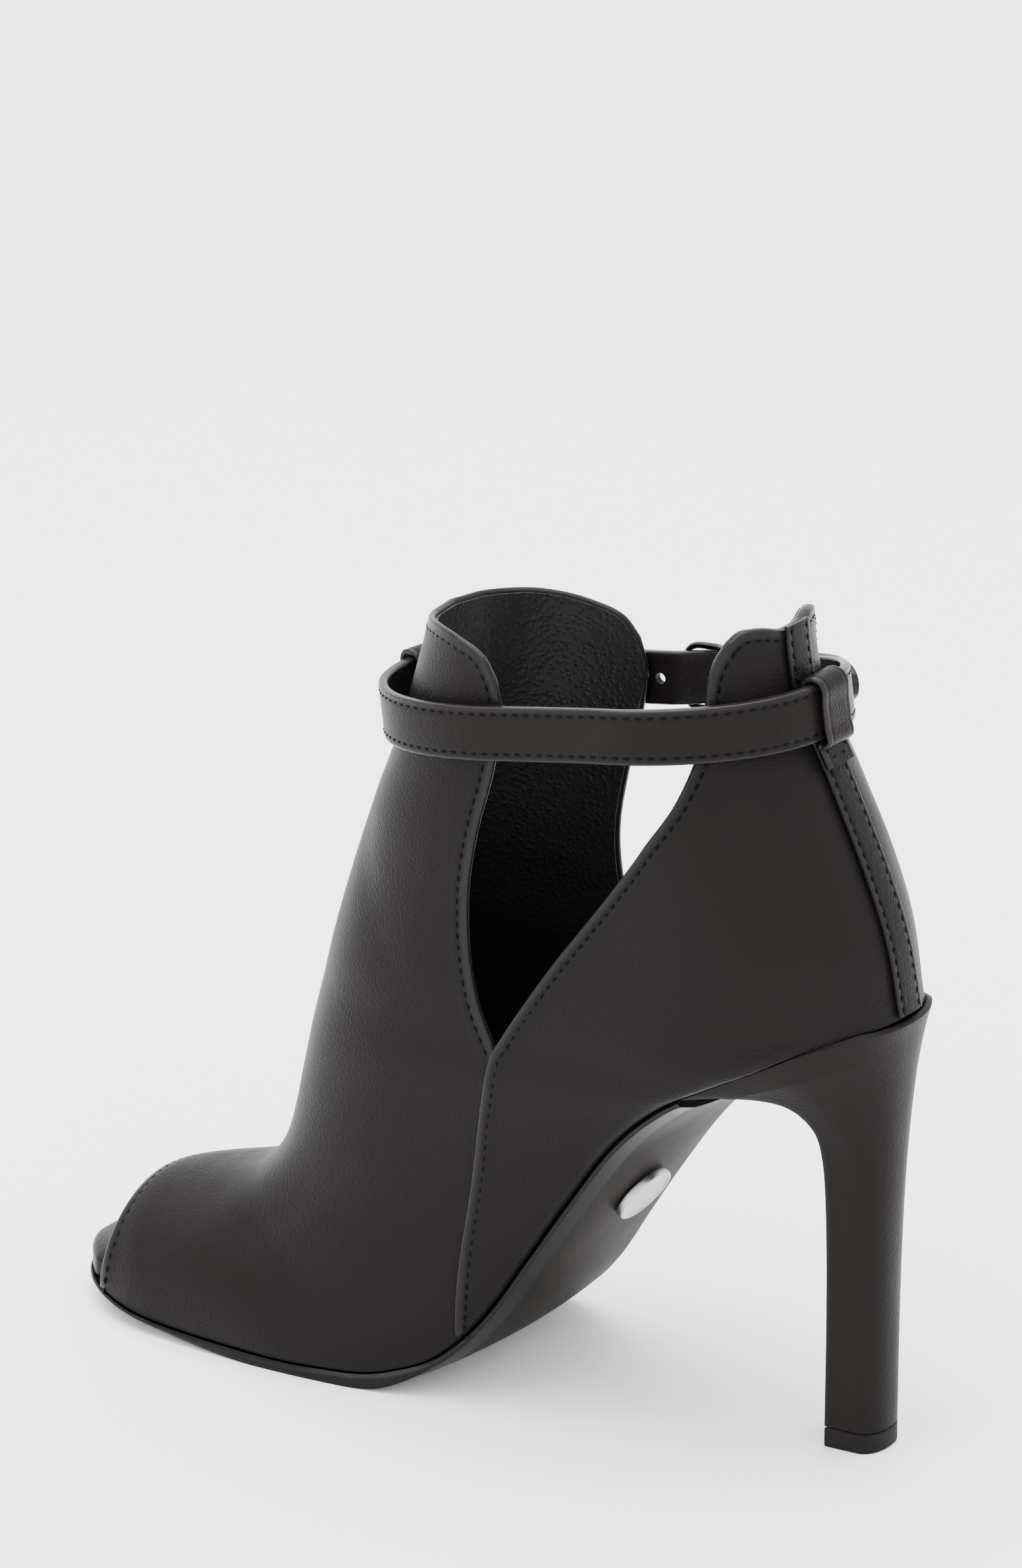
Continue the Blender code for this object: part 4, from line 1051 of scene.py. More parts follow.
@dataclass
class Upper:
    """Vamp with front shaft, and quarter, each with folded edges, over one lining."""

    stitch: Stitch = field(default_factory=Stitch)
    across: int = 72
    tuck: float = 0.014
    edge_round: float = 0.0007
    toe_edge_round: float = 0.0006
    toe_relief: float = 0.8
    front_collar: Array = tabled(
        (0.560, 1.000), (0.518, 1.009), (0.480, 1.006), (0.446, 0.992), (0.431, 0.968)
    )
    front_edge: Array = tabled(
        (0.431, 0.968), (0.424, 0.935), (0.431, 0.860), (0.450, 0.770),
        (0.460, 0.690), (0.458, 0.620), (0.446, 0.550), (0.425, 0.489),
    )
    lap_seam: Array = tabled(
        (0.425, 0.489), (0.438, 0.420), (0.454, 0.310), (0.472, 0.200), (0.483, 0.080)
    )
    back_edge: Array = tabled(
        (0.199, 1.048), (0.206, 1.022), (0.207, 0.960), (0.206, 0.905), (0.215, 0.858),
        (0.247, 0.790), (0.281, 0.733), (0.315, 0.680), (0.350, 0.625), (0.384, 0.567),
        (0.410, 0.520), (0.425, 0.489),
    )
    back_collar: Array = tabled(
        (0.1765, 1.050), (0.183, 1.058), (0.192, 1.059), (0.199, 1.048)
    )

    def vamp_grid(self, tuck: float) -> tuple[Array, int]:
        """Section rows and shares over the vamp.

        Args:
            tuck: How far it runs under the quarter, over the length.

        Returns:
            The grid, and its rows along the open front edge.
        """
        collar = LAST.line(self.front_collar, self.across)
        collar[0, 1] = 1.0
        edge = LAST.line(self.front_edge, 50)
        table = self.lap_seam - np.array([1.0, 0.0]) * tuck * np.array([0, 0.7, 1, 1, 1])[:, None]
        seam = LAST.line(table, 36)
        seam[-1, 1] = 0.0
        foot = LAST.foot_line(seam[-1, 0], LAST.last_row, 54)
        outer = np.concatenate((edge, seam[1:], foot[1:]))
        t = np.linspace(0, 1, len(outer))
        ridge = np.stack([collar[0, 0] * (1 - t) + LAST.last_row * t, np.ones_like(t)], axis=-1)
        toe = np.stack([np.full(self.across, LAST.last_row), np.linspace(1, 0, self.across)], axis=-1)
        grid = patch(collar, toe, ridge, outer)
        grid[..., 1] = 1 - grid[..., 1]
        grid[..., 1] = 1 - even_shares(grid, np.linspace(0, 1, self.across))
        return grid, len(edge)

    def quarter_grid(self) -> tuple[Array, int]:
        """Section rows and shares over the quarter.

        Returns:
            The grid, and its rows along the open edge.
        """
        collar = LAST.line(self.back_collar, self.across)
        collar[0, 1] = 0.0
        edge = LAST.line(self.back_edge, 70)
        seam = LAST.line(self.lap_seam, 36)
        seam[-1, 1] = 0.0
        front = np.concatenate((edge, seam[1:]))
        t = np.linspace(0, 1, len(front))
        back = np.stack([collar[0, 0] * (1 - t) + LAST.seat_row * t, np.zeros_like(t)], axis=-1)
        foot = LAST.foot_line(float(LAST.seat_row), seam[-1, 0], self.across)
        grid = patch(collar, foot, back, front)
        grid[..., 1] = even_shares(grid, np.linspace(0, 1, self.across))
        return grid, len(edge)

    def creases(self, points: Array) -> Array:
        """Soft troughs and ridges of the vamp at the instep and the ball.

        Args:
            points: Points of the outer face.

        Returns:
            Rise in metres: sums of bell curves across lines in side view.
        """
        rise = np.zeros(points.shape[:-1])
        table = [
            # y, z, slope of the fold, half width, length, depth
            (0.166, 0.047, -1.10, 0.0040, 0.016, -0.00080),
            (0.159, 0.041, -1.00, 0.0045, 0.020, 0.00050),
            (0.150, 0.036, -0.80, 0.0050, 0.022, -0.00050),
            (0.156, 0.066, -1.60, 0.0050, 0.018, -0.00045),
            (0.150, 0.085, -1.90, 0.0060, 0.022, -0.00035),
            (0.132, 0.125, 2.40, 0.0050, 0.020, -0.00022),
            (0.120, 0.105, 1.80, 0.0060, 0.018, -0.00020),
        ]
        for y, z, slope, width, length, depth in table:
            tilt = math.hypot(1, slope)
            across = ((points[..., 1] - y) * -slope + (points[..., 2] - z)) / tilt
            along = ((points[..., 1] - y) + (points[..., 2] - z) * slope) / tilt
            rise += depth * np.exp(-((across / width) ** 2) - (along / length) ** 2)
        return rise

    def wrinkles(self, points: Array) -> Array:
        """Fine pleats of the lining inside the upper front shaft.

        Args:
            points: Points of the lining.

        Returns:
            Rise in metres.
        """
        high = ease((points[..., 2] - 0.150) / 0.012) * ease((points[..., 1] - 0.085) / 0.010)
        wave = np.sin(points[..., 0] * 1900 + np.sin(points[..., 2] * 420) * 1.8)
        return high * wave * 0.00006

    def vamp(self, threads: Shell) -> None:
        """Build the vamp and its topstitches.

        Args:
            threads: Shell that takes the stitches.
        """
        shell = Shell()
        grid, edge_rows = self.vamp_grid(self.tuck)
        for side in Side:
            base, normal = LAST.frame_at(grid[..., 0], grid[..., 1], side)
            plain = base + normal * LEATHER.wall
            edges = np.concatenate((plain[0], plain[:edge_rows, -1]))
            near = distance_to(plain, fine_line(edges))
            toe = distance_to(plain, fine_line(plain[-1]))
            rise = self.stitch.relief(near) + self.stitch.relief(toe) * self.toe_relief
            rise = rise + self.creases(plain)
            outside = base + normal * (LEATHER.wall + rise)[..., None]
            inside = base + normal * (LEATHER.lining + 0.00005)
            # Edge marks here and on the rims below lighten the leather at its edges: a painted highlight.
            mark = self.stitch.mark(np.minimum(near, toe))
            shell.grid(outside, mark)
            shell.grid(inside, 0.0)
            edge = [np.concatenate((f[0], f[1:, -1])) for f in (outside, inside, normal)]
            frame_line = border(edge[0], np.concatenate((outside[2], outside[1:, -3])), edge[2])
            open_share = np.ones(len(edge[0]))
            open_share[len(outside[0]) + edge_rows - 1 :] = 0.0
            bulge = self.edge_round * open_share[:, None]
            shell.grid(rim(edge[0], edge[1], -frame_line.inward, bulge), open_share[None])
            toe_line = border(outside[-1], outside[-2], normal[-1])
            shell.grid(rim(outside[-1], inside[-1], -toe_line.inward, self.toe_edge_round), 1.0)
            seam = np.concatenate((plain[0], plain[1:edge_rows, -1]))
            beside = np.concatenate((plain[2], plain[1:edge_rows, -3]))
            top = border(seam, beside, np.concatenate((normal[0], normal[1:edge_rows, -1])))
            self.stitch.thread(threads, *top.inset(self.stitch))
            seam, up = border(plain[-1], plain[-2], normal[-1]).inset(self.stitch, -0.0001)
            self.stitch.thread(threads, seam[:-2], up[:-2])
        shell.build("vamp_leather", SHELL_LEATHER, ("upper",), BLACK)

    def quarter(self, threads: Shell) -> None:
        """Build the quarter, which laps over the vamp, and its topstitches.

        Args:
            threads: Shell that takes the stitches.
        """
        shell = Shell()
        grid, edge_rows = self.quarter_grid()
        for side in Side:
            base, normal = LAST.frame_at(grid[..., 0], grid[..., 1], side)
            plain = base + normal * LEATHER.quarter
            edges = np.concatenate((plain[0], plain[:, -1]))
            near = distance_to(plain, fine_line(edges))
            outside = base + normal * (LEATHER.quarter + self.stitch.relief(near))[..., None]
            inside = base + normal * (LEATHER.lining + 0.00003)
            # Edge marks here and on the rim below lighten the leather at its edges: a painted highlight.
            shell.grid(outside, self.stitch.mark(near))
            shell.grid(inside, 0.0)
            lap = base + normal * (LEATHER.wall - 0.0003)
            edge = [np.concatenate((f[0], f[1:, -1])) for f in (outside, inside, normal, lap)]
            frame_line = border(edge[0], np.concatenate((outside[2], outside[1:, -3])), edge[2])
            laid = ease((np.arange(len(edge[0])) - len(outside[0]) - edge_rows + 6) / 8.0)[:, None]
            under = edge[1] * (1 - laid) + edge[3] * laid
            shell.grid(rim(edge[0], under, -frame_line.inward, self.edge_round), 1.0)
            shell.grid(np.stack([under, edge[1]]), 0.0)
            shell.grid(np.stack([outside[-1], inside[-1]]), 0.0)
            beside = np.concatenate((plain[2], plain[1:, -3]))
            top = border(np.concatenate((plain[0], plain[1:, -1])), beside, edge[2])
            self.stitch.thread(threads, *top.inset(self.stitch))
        shell.build("quarter_leather", SHELL_LEATHER, ("upper",), BLACK)

    def lining(self) -> None:
        """Build the lining of vamp and quarter."""
        shell = Shell()
        for grid in (self.vamp_grid(0.0)[0], self.quarter_grid()[0]):
            grid = grid[::2, ::2] if grid.shape[0] % 2 and grid.shape[1] % 2 else grid
            for side in Side:
                base, normal = LAST.frame_at(grid[..., 0], grid[..., 1], side)
                inner = base + normal * self.wrinkles(base)[..., None]
                outer = base + normal * LEATHER.lining
                shell.grid(inner)
                shell.grid(outer)
                for line in (np.s_[0], np.s_[-1], np.s_[:, -1]):
                    shell.grid(np.stack([inner[line], outer[line]]))
        shell.build("upper_lining", LINING, ("upper",), "insole_leather")

    def build(self) -> None:
        """Build all of the upper."""
        threads = Shell()
        self.vamp(threads)
        self.quarter(threads)
        self.lining()
        threads.build("upper_stitches", THREAD, (), BLACK)


def band_profile(width: float, thick: float, radius: float, groove: float = 0.0, at: float = 0.0) -> Array:
    """Section of a leather band.

    Args:
        width: Width of the band.
        thick: Thickness.
        radius: Rounding of its edges.
        groove: Depth of the stitch grooves on the outer face.
        at: Their distance from the edges.

    Returns:
        Points as across and out, round the section.
    """
    half, deep = width / 2, thick / 2
    turn = np.linspace(0, math.pi / 2, 5)
    corner = np.array([half, deep]) - radius + radius * np.stack([np.sin(turn), np.cos(turn)], axis=-1)
    flat = np.linspace(-half + radius, half - radius, 27)[1:-1]
    top = np.stack([flat, np.full_like(flat, deep)], axis=-1)
    top[:, 1] -= groove * np.exp(-(((half - np.abs(flat) - at) / 0.0004) ** 2))
    low = np.stack([flat[::-4], np.full_like(flat[::-4], -deep)], axis=-1)
    right = np.concatenate((corner, corner[::-1] * (1, -1)))
    left = np.concatenate((corner * (-1, -1), corner[::-1] * (-1, 1)))
    return np.concatenate((top, right, low, left))


def rim_mark(profile: Array, width: float, spread: float = 0.0007) -> Array:
    """Edge mark round a band's section; it makes the leather glossier at the edges and lighter, the lighter
    colour a painted highlight.

    Args:
        profile: Section as across and out.
        width: Width of the band.
        spread: How far the mark reaches in from the edges.

    Returns:
        Marks: 1 at both edges, 0 between them.
    """
    return np.exp(-(((width / 2 - np.abs(profile[:, 0])) / spread) ** 2))


def band(centre: Array, out: Array, across: Array, profile: Array, taper: Array | None = None) -> Array:
    """Rings of a band along a line.

    Args:
        centre: Points of the middle line.
        out: Directions of the section's thickness.
        across: Directions of its width.
        profile: Section as across and out.
        taper: Width factor at each point.

    Returns:
        Points by ring and place round it.
    """
    wide = profile[None, :, 0] * (np.ones(len(centre)) if taper is None else taper)[:, None]
    return centre[:, None] + across[:, None] * wide[..., None] + out[:, None] * profile[None, :, 1, None]


@dataclass
class BackStrip:
    """Folded strip over the back seam with a small lip over the collar."""

    width: float = 0.0090
    collar_height: float = 1.050
    stitch: Stitch = field(default_factory=lambda: Stitch(inset=0.0014, fold=0.0001, groove=0.00014))

    def build(self) -> None:
        """Build the strip and its two seams."""
        back_rows = np.linspace(0, LAST.seat_row, 201)
        heights = LAST.section(back_rows)["back"][1]
        top = np.interp(-self.collar_height * LAST.collar_height, -heights, back_rows)
        rows = np.linspace(top - 0.06, LAST.seat_row - 0.03, 110)
        shares = np.linspace(0, 0.3, 60)
        profile = band_profile(self.width, LEATHER.strip, 0.0004, self.stitch.groove, self.stitch.inset)
        middle = LEATHER.quarter + LEATHER.gap + LEATHER.strip / 2
        rings = np.zeros((len(rows), len(profile), 3))
        seams: dict[Side, list[Array]] = {Side.MEDIAL: [], Side.LATERAL: []}
        ups: dict[Side, list[Array]] = {Side.MEDIAL: [], Side.LATERAL: []}
        for side in Side:
            grid = np.stack(np.meshgrid(rows, shares, indexing="ij"), axis=-1)
            reach = np.abs(LAST.skin(grid, side, LEATHER.quarter)[..., 0])
            mine = np.sign(profile[:, 0]) == side.value
            if side is Side.LATERAL:
                mine |= profile[:, 0] == 0
            for number, row in enumerate(rows):
                a = np.interp(np.abs(profile[mine, 0]), reach[number], shares)
                spot, normal = LAST.frame_at(np.full_like(a, row), a, side)
                rings[number, mine] = spot + normal * (middle + profile[mine, 1])[:, None]
                seam = np.interp(self.width / 2 - self.stitch.inset, reach[number], shares)
                spot, normal = LAST.frame_at(np.array([row]), np.array([seam]), side)
                seams[side].append(spot[0] + normal[0] * (LEATHER.over_strip - self.stitch.groove))
                ups[side].append(normal[0])
        shell, threads = Shell(), Shell()
        shell.tube(rings, rim_mark(profile, self.width, 0.0008)[None])
        for side in Side:
            self.stitch.thread(threads, np.array(seams[side]), np.array(ups[side]))
        shell.build("back_strip_leather", SHELL_LEATHER, ("back_strip",), BLACK)
        threads.build("back_strip_stitches", THREAD, (), BLACK)


@dataclass
class Strap:
    """Ankle strap, its loops, its buckle and the holes."""

    width: float = 0.0125
    thick: float = 0.0022
    tail: float = 0.034
    hole: float = 0.0026
    back_z: float = 0.1705
    front_z: float = 0.1565
    slack_back: float = 0.0027
    slack_side: float = 0.0007
    slack_front: float = 0.0033
    lean: float = 0.14
    buckle_y: float = 0.0775
    buckle_length: float = 0.0135
    buckle_height: float = 0.0148
    wire: float = 0.0016
    prong: float = 0.0014
    loop_width: float = 0.0106
    loop_thick: float = 0.0012
    loop_tab: float = 0.0085
    front_turn: float = 1.045
    tail_loop_y: float = 0.0600
    tail_loop_width: float = 0.0060
    tail_loop_thick: float = 0.0011
    stitch: Stitch = field(
        default_factory=lambda: Stitch(inset=0.0017, pitch=0.0028, groove=0.00016, fold=0.0)
    )

    def frame_at(self, turn: Array) -> tuple[Array, Array, Array]:
        """Middle line of the strap round the ankle.

        Args:
            turn: 0 at the back seam, pi / 2 on the inner side, pi at the front.

        Returns:
            Points, outward directions and upright directions.
        """
        turn = np.asarray(turn, float)
        a = np.abs((turn + math.pi) % (2 * math.pi) - math.pi) / math.pi
        share = (1 - np.cos(math.pi * a)) / 2
        rows = np.linspace(0, LAST.seat_row, 201)
        section = LAST.section(rows)
        back = np.interp(-self.back_z, -section["back"][1], section["back"][0])
        front = np.interp(-self.front_z, -section["front"][1], section["front"][0])
        y = back + share * (front - back)
        z = self.back_z + share * (self.front_z - self.back_z)
        j = LAST.chart(np.stack([y, z], axis=-1))[:, 0]
        inner = (np.sin(turn) >= 0)[:, None]
        points = np.where(inner, LAST.point(j, a, Side.MEDIAL), LAST.point(j, a, Side.LATERAL))
        along = np.gradient(points, turn, axis=0)
        outward = unit(np.stack([-along[:, 1], along[:, 0], 0 * turn], axis=-1))
        side_off = np.sin(math.pi * a) ** 2
        off_back = LEATHER.over_strip + self.slack_back + self.thick / 2
        off_side = LEATHER.quarter + self.slack_side + self.thick / 2
        off_front = LEATHER.wall + self.slack_front + self.thick / 2
        off = (off_back * (1 - share) + off_front * share) * (1 - side_off) + off_side * side_off
        lean = self.lean * (share * 2 - 1) * (1 - side_off)
        upright = unit(outward * lean[:, None] + np.array([0, 0, 1.0]))
        return points + outward * off[:, None], outward, upright

    def outer_turn(self, y: float) -> float:
        """Turn on the outer side at a place along the shoe.

        Args:
            y: Place from the back of the heel.

        Returns:
            Turn between pi and 2 pi.
        """
        turns = np.linspace(math.pi, 2 * math.pi, 161)
        return float(np.interp(-y, -self.frame_at(turns)[0][:, 1], turns))

    def beside(self, y: Array, off: Array, up: Array) -> tuple[Array, Array]:
        """Points measured from the strap's outer side.

        Args:
            y: Places along the shoe.
            off: Distances from the strap's middle.
            up: Heights over it.

        Returns:
            Points and outward directions.
        """
        turns = np.linspace(math.pi * 1.05, math.pi * 1.95, 241)
        centre, outward, upright = self.frame_at(turns)
        order = np.argsort(centre[:, 1])
        places = centre[order, 1]
        centre, outward, upright = (
            read_at(y, places, value[order]) for value in (centre, outward, upright)
        )
        return centre + outward * off[:, None] + upright * up[:, None], outward

    def belt(self) -> None:
        """Build the strap and its seams, and punch its holes."""
        rear = self.buckle_y - self.buckle_length / 2
        first = self.outer_turn(rear - self.wire / 2 - LEATHER.gap) - 2 * math.pi
        last = self.outer_turn(rear - self.tail)
        turns = np.linspace(first, last, 420)
        rise_start = self.outer_turn(self.buckle_y + self.buckle_length / 2 + 0.002)
        rise_end = self.outer_turn(rear + 0.003)
        extra = np.where(
            turns > math.pi,
            ease((turns - rise_start) / (rise_end - rise_start)) * (self.thick + 2 * LEATHER.gap), 0.0)
        centre, outward, upright = self.frame_at(turns)
        centre = centre + outward * extra[:, None]
        tip = np.clip((turns - turns[-22]) / (turns[-1] - turns[-22]), 0, 1)
        taper = np.sqrt(np.clip(1 - tip**2.4 * 0.97, 0, 1))
        profile = band_profile(self.width, self.thick, 0.0006, self.stitch.groove, self.stitch.inset)
        shell, threads = Shell(), Shell()
        mark = rim_mark(profile, self.width)
        shell.tube(band(centre, outward, upright, profile, taper), mark[None])
        belt = shell.build("ankle_strap_leather", STRAP_LEATHER, ("ankle_strap",), BLACK)
        self.pierce(belt, self.buckle_y + self.buckle_length / 2 + 0.0045, self.hole)
        self.pierce(belt, rear + 0.003, self.hole)
        for way in (-1, 1):
            height = way * (self.width / 2 - self.stitch.inset) * taper
            seam = centre + upright * height[:, None] + outward * (self.thick / 2 - self.stitch.groove)
            self.stitch.thread(threads, seam[6:-14], outward[6:-14])
        threads.build("ankle_strap_stitches", THREAD, (), BLACK)

    def pierce(self, item: bpy.types.Object, y: float, diameter: float) -> None:
        """Punch a round hole through the strap's outer side.

        Args:
            item: The strap.
            y: Place of the hole.
            diameter: Its diameter.
        """
        turn = self.outer_turn(y)
        spots, outward, _ = self.frame_at(np.array([turn - 0.01, turn]))
        data = bpy.data.meshes.new("hole")
        mesh = bmesh.new()
        facing = Vector(outward[1]).to_track_quat("Z", "Y").to_matrix().to_4x4()
        place = Matrix.Translation(Vector(spots[1] + PLACE)) @ facing
        bmesh.ops.create_cone(
            mesh, cap_ends=True, segments=32, radius1=diameter / 2, radius2=diameter / 2, depth=0.016,
            matrix=place)
        mesh.to_mesh(data)
        mesh.free()
        cutter = placed("hole", data)
        change = item.modifiers.new("hole", "BOOLEAN")
        change.object = cutter
        change.operation = "DIFFERENCE"
        change.solver = "EXACT"
        bpy.context.view_layer.update()
        result = bpy.data.meshes.new_from_object(item.evaluated_get(bpy.context.evaluated_depsgraph_get()))
        item.modifiers.clear()
        item.data = result
        bpy.data.objects.remove(cutter)

    def loop(self, name: str, node: str, turn: float, base: float) -> None:
        """Build an upright leather loop with a tab sewn to the wall.

        Args:
            name: Name of the piece.
            node: CAD node that it stands for.
            turn: Place round the ankle.
            base: Stand-off of the wall's face.
        """
        spots, outward, upright = (value[1] for value in self.frame_at(turn + np.array([-0.01, 0, 0.01])))
        a = abs((turn + math.pi) % (2 * math.pi) - math.pi) / math.pi
        side = Side.LATERAL if math.sin(turn) < 0 else Side.MEDIAL
        half, thick = self.width / 2, self.loop_thick
        clear = self.thick / 2 + 2 * LEATHER.gap + thick / 2
        top = half + 2 * LEATHER.gap + thick / 2

        def on_wall(height: float) -> Array:
            """Point on the wall at a height from the strap's middle."""
            row = LAST.row_at(spots[2] + height, a, side)
            return LAST.skin(np.array([float(row), a]), side, base + LEATHER.gap + thick / 2)

        def on_strap(off: float, height: float) -> Array:
            """Point beside the strap's section."""
            return spots + outward * off + upright * height

        route = np.array(
            [
                on_wall(-half - self.loop_tab), on_wall(-half - 4 * thick), on_wall(-half - 3 * thick),
                on_strap(0.0, -top - thick / 2), on_strap(clear, -half - 2 * LEATHER.gap),
                on_strap(clear, -half / 2), on_strap(clear, half / 4), on_strap(clear, half),
                on_strap(clear - thick / 3, half + thick / 2), on_strap(0.0, top),
                on_strap(-clear + thick / 3, half + thick / 2), on_strap(-clear, half / 2),
                on_strap(-clear, -half / 4),
            ]
        )
        route = spaced(route, 90)
        across = np.array([-outward[1], outward[0], 0.0])
        flank = unit(np.cross(np.gradient(route, axis=0), across))
        flank *= np.sign((flank[45] * outward).sum())
        profile = band_profile(self.loop_width, thick, 0.0005, 0.0001, 0.0014)
        shell, threads = Shell(), Shell()
        mark = rim_mark(profile, self.loop_width)
        shell.tube(band(route, flank, np.broadcast_to(across, route.shape), profile), mark[None])
        shell.build(name, STRAP_LEATHER, (node,), BLACK)
        low = route[5:15]
        ends = [route[5] + across * w for w in np.linspace(-1, 1, 12) * (self.loop_width / 2 - 0.0014)]
        face = flank[5] * (thick / 2 - 0.0001)
        self.stitch.thread(threads, np.array(ends) + face, np.broadcast_to(flank[5], (12, 3)))
        for way in (-1, 1):
            seam = low + across * way * (self.loop_width / 2 - 0.0014) + flank[5:15] * (thick / 2 - 0.0001)
            self.stitch.thread(threads, seam, flank[5:15])
        threads.build(f"{name}_stitches", THREAD, (), BLACK)

    def tail_loop(self) -> None:
        """Build the small loop behind the buckle."""
        inner, outer = -self.thick / 2 - 2 * LEATHER.gap, self.thick * 1.5 + 4 * LEATHER.gap
        high = self.width / 2 + 2 * LEATHER.gap
        turn = around(72)
        reach = (np.abs(np.cos(turn)) ** 6 + np.abs(np.sin(turn)) ** 6) ** (-1 / 6)
        profile = band_profile(self.tail_loop_width, self.tail_loop_thick, 0.0004)
        rings = []
        for across, out in profile:
            grow = self.tail_loop_thick / 2 + out
            off = (inner + outer) / 2 + reach * np.cos(turn) * ((outer - inner) / 2 + grow)
            up = reach * np.sin(turn) * (high + grow)
            rings.append(self.beside(np.full(len(turn), self.tail_loop_y + across), off, up)[0])
        shell = Shell()
        # Edge mark 0.4 over the whole keeper, so all of it takes part of the painted edge highlight.
        shell.tube(np.stack(rings, axis=1), 0.4, loop=True)
        shell.build("tail_keeper_leather", STRAP_LEATHER, ("tail_keeper",), BLACK)

    def metal(self) -> None:
        """Build the buckle's frame and its prong."""
        turn = around(120)
        reach = (np.abs(np.cos(turn)) ** 4 + np.abs(np.sin(turn)) ** 4) ** (-1 / 4)
        ahead = reach * np.cos(turn)
        over = self.thick / 2 + 2 * LEATHER.gap + self.wire / 2
        off = over * ease((ahead + 1) / 2)
        up = reach * np.sin(turn) * self.buckle_height / 2
        path, out = self.beside(self.buckle_y + ahead * self.buckle_length / 2, off, up)
        along = unit(np.roll(path, -1, axis=0) - np.roll(path, 1, axis=0))
        self.rod("buckle_frame_metal", "buckle_frame", path, along, out, self.wire / 2, True)
        high = over + self.wire / 2 + LEATHER.gap + self.prong / 2
        ahead = np.array([1.18, 0.9, 0.5, 0.0, -0.30, -0.50, -0.56])
        places = self.buckle_y + self.buckle_length / 2 * ahead
        lifts = np.array([1.0, 1.02, 1.06, 1.13, 1.15, 1.0, 0.70]) * high
        path, out = self.beside(places, lifts, np.zeros_like(ahead))
        path = spaced(path, 40)
        along = unit(np.gradient(path, axis=0))
        self.rod("buckle_prong_metal", "buckle_prong", path, along, np.broadcast_to(out[3], path.shape),
                 self.prong / 2, False)

    def rod(
        self, name: str, node: str, path: Array, along: Array, out: Array, radius: float, loop: bool
    ) -> None:
        """Build a round metal wire.

        Args:
            name: Name of the piece.
            node: CAD node that it stands for.
            path: Middle line.
            along: Directions of the line.
            out: Outward directions.
            radius: Wire radius.
            loop: True for a closed frame.
        """
        first = unit(np.cross(along, out))
        second = np.cross(first, along)
        turn = around(16)
        rings = path[:, None] + radius * (
            first[:, None] * np.cos(turn)[None, :, None] + second[:, None] * np.sin(turn)[None, :, None]
        )
        shell = Shell()
        shell.tube(rings, loop=loop)
        shell.build(name, DARK_STEEL, (node,), "buckle_steel")

    def build(self) -> None:
        """Build the strap with all that belongs to it."""
        self.belt()
        self.loop("back_keeper_leather", "back_keeper", 0.0, LEATHER.over_strip)
        self.loop("front_keeper_leather", "front_keeper", self.front_turn * math.pi, LEATHER.wall)
        self.tail_loop()
        self.metal()


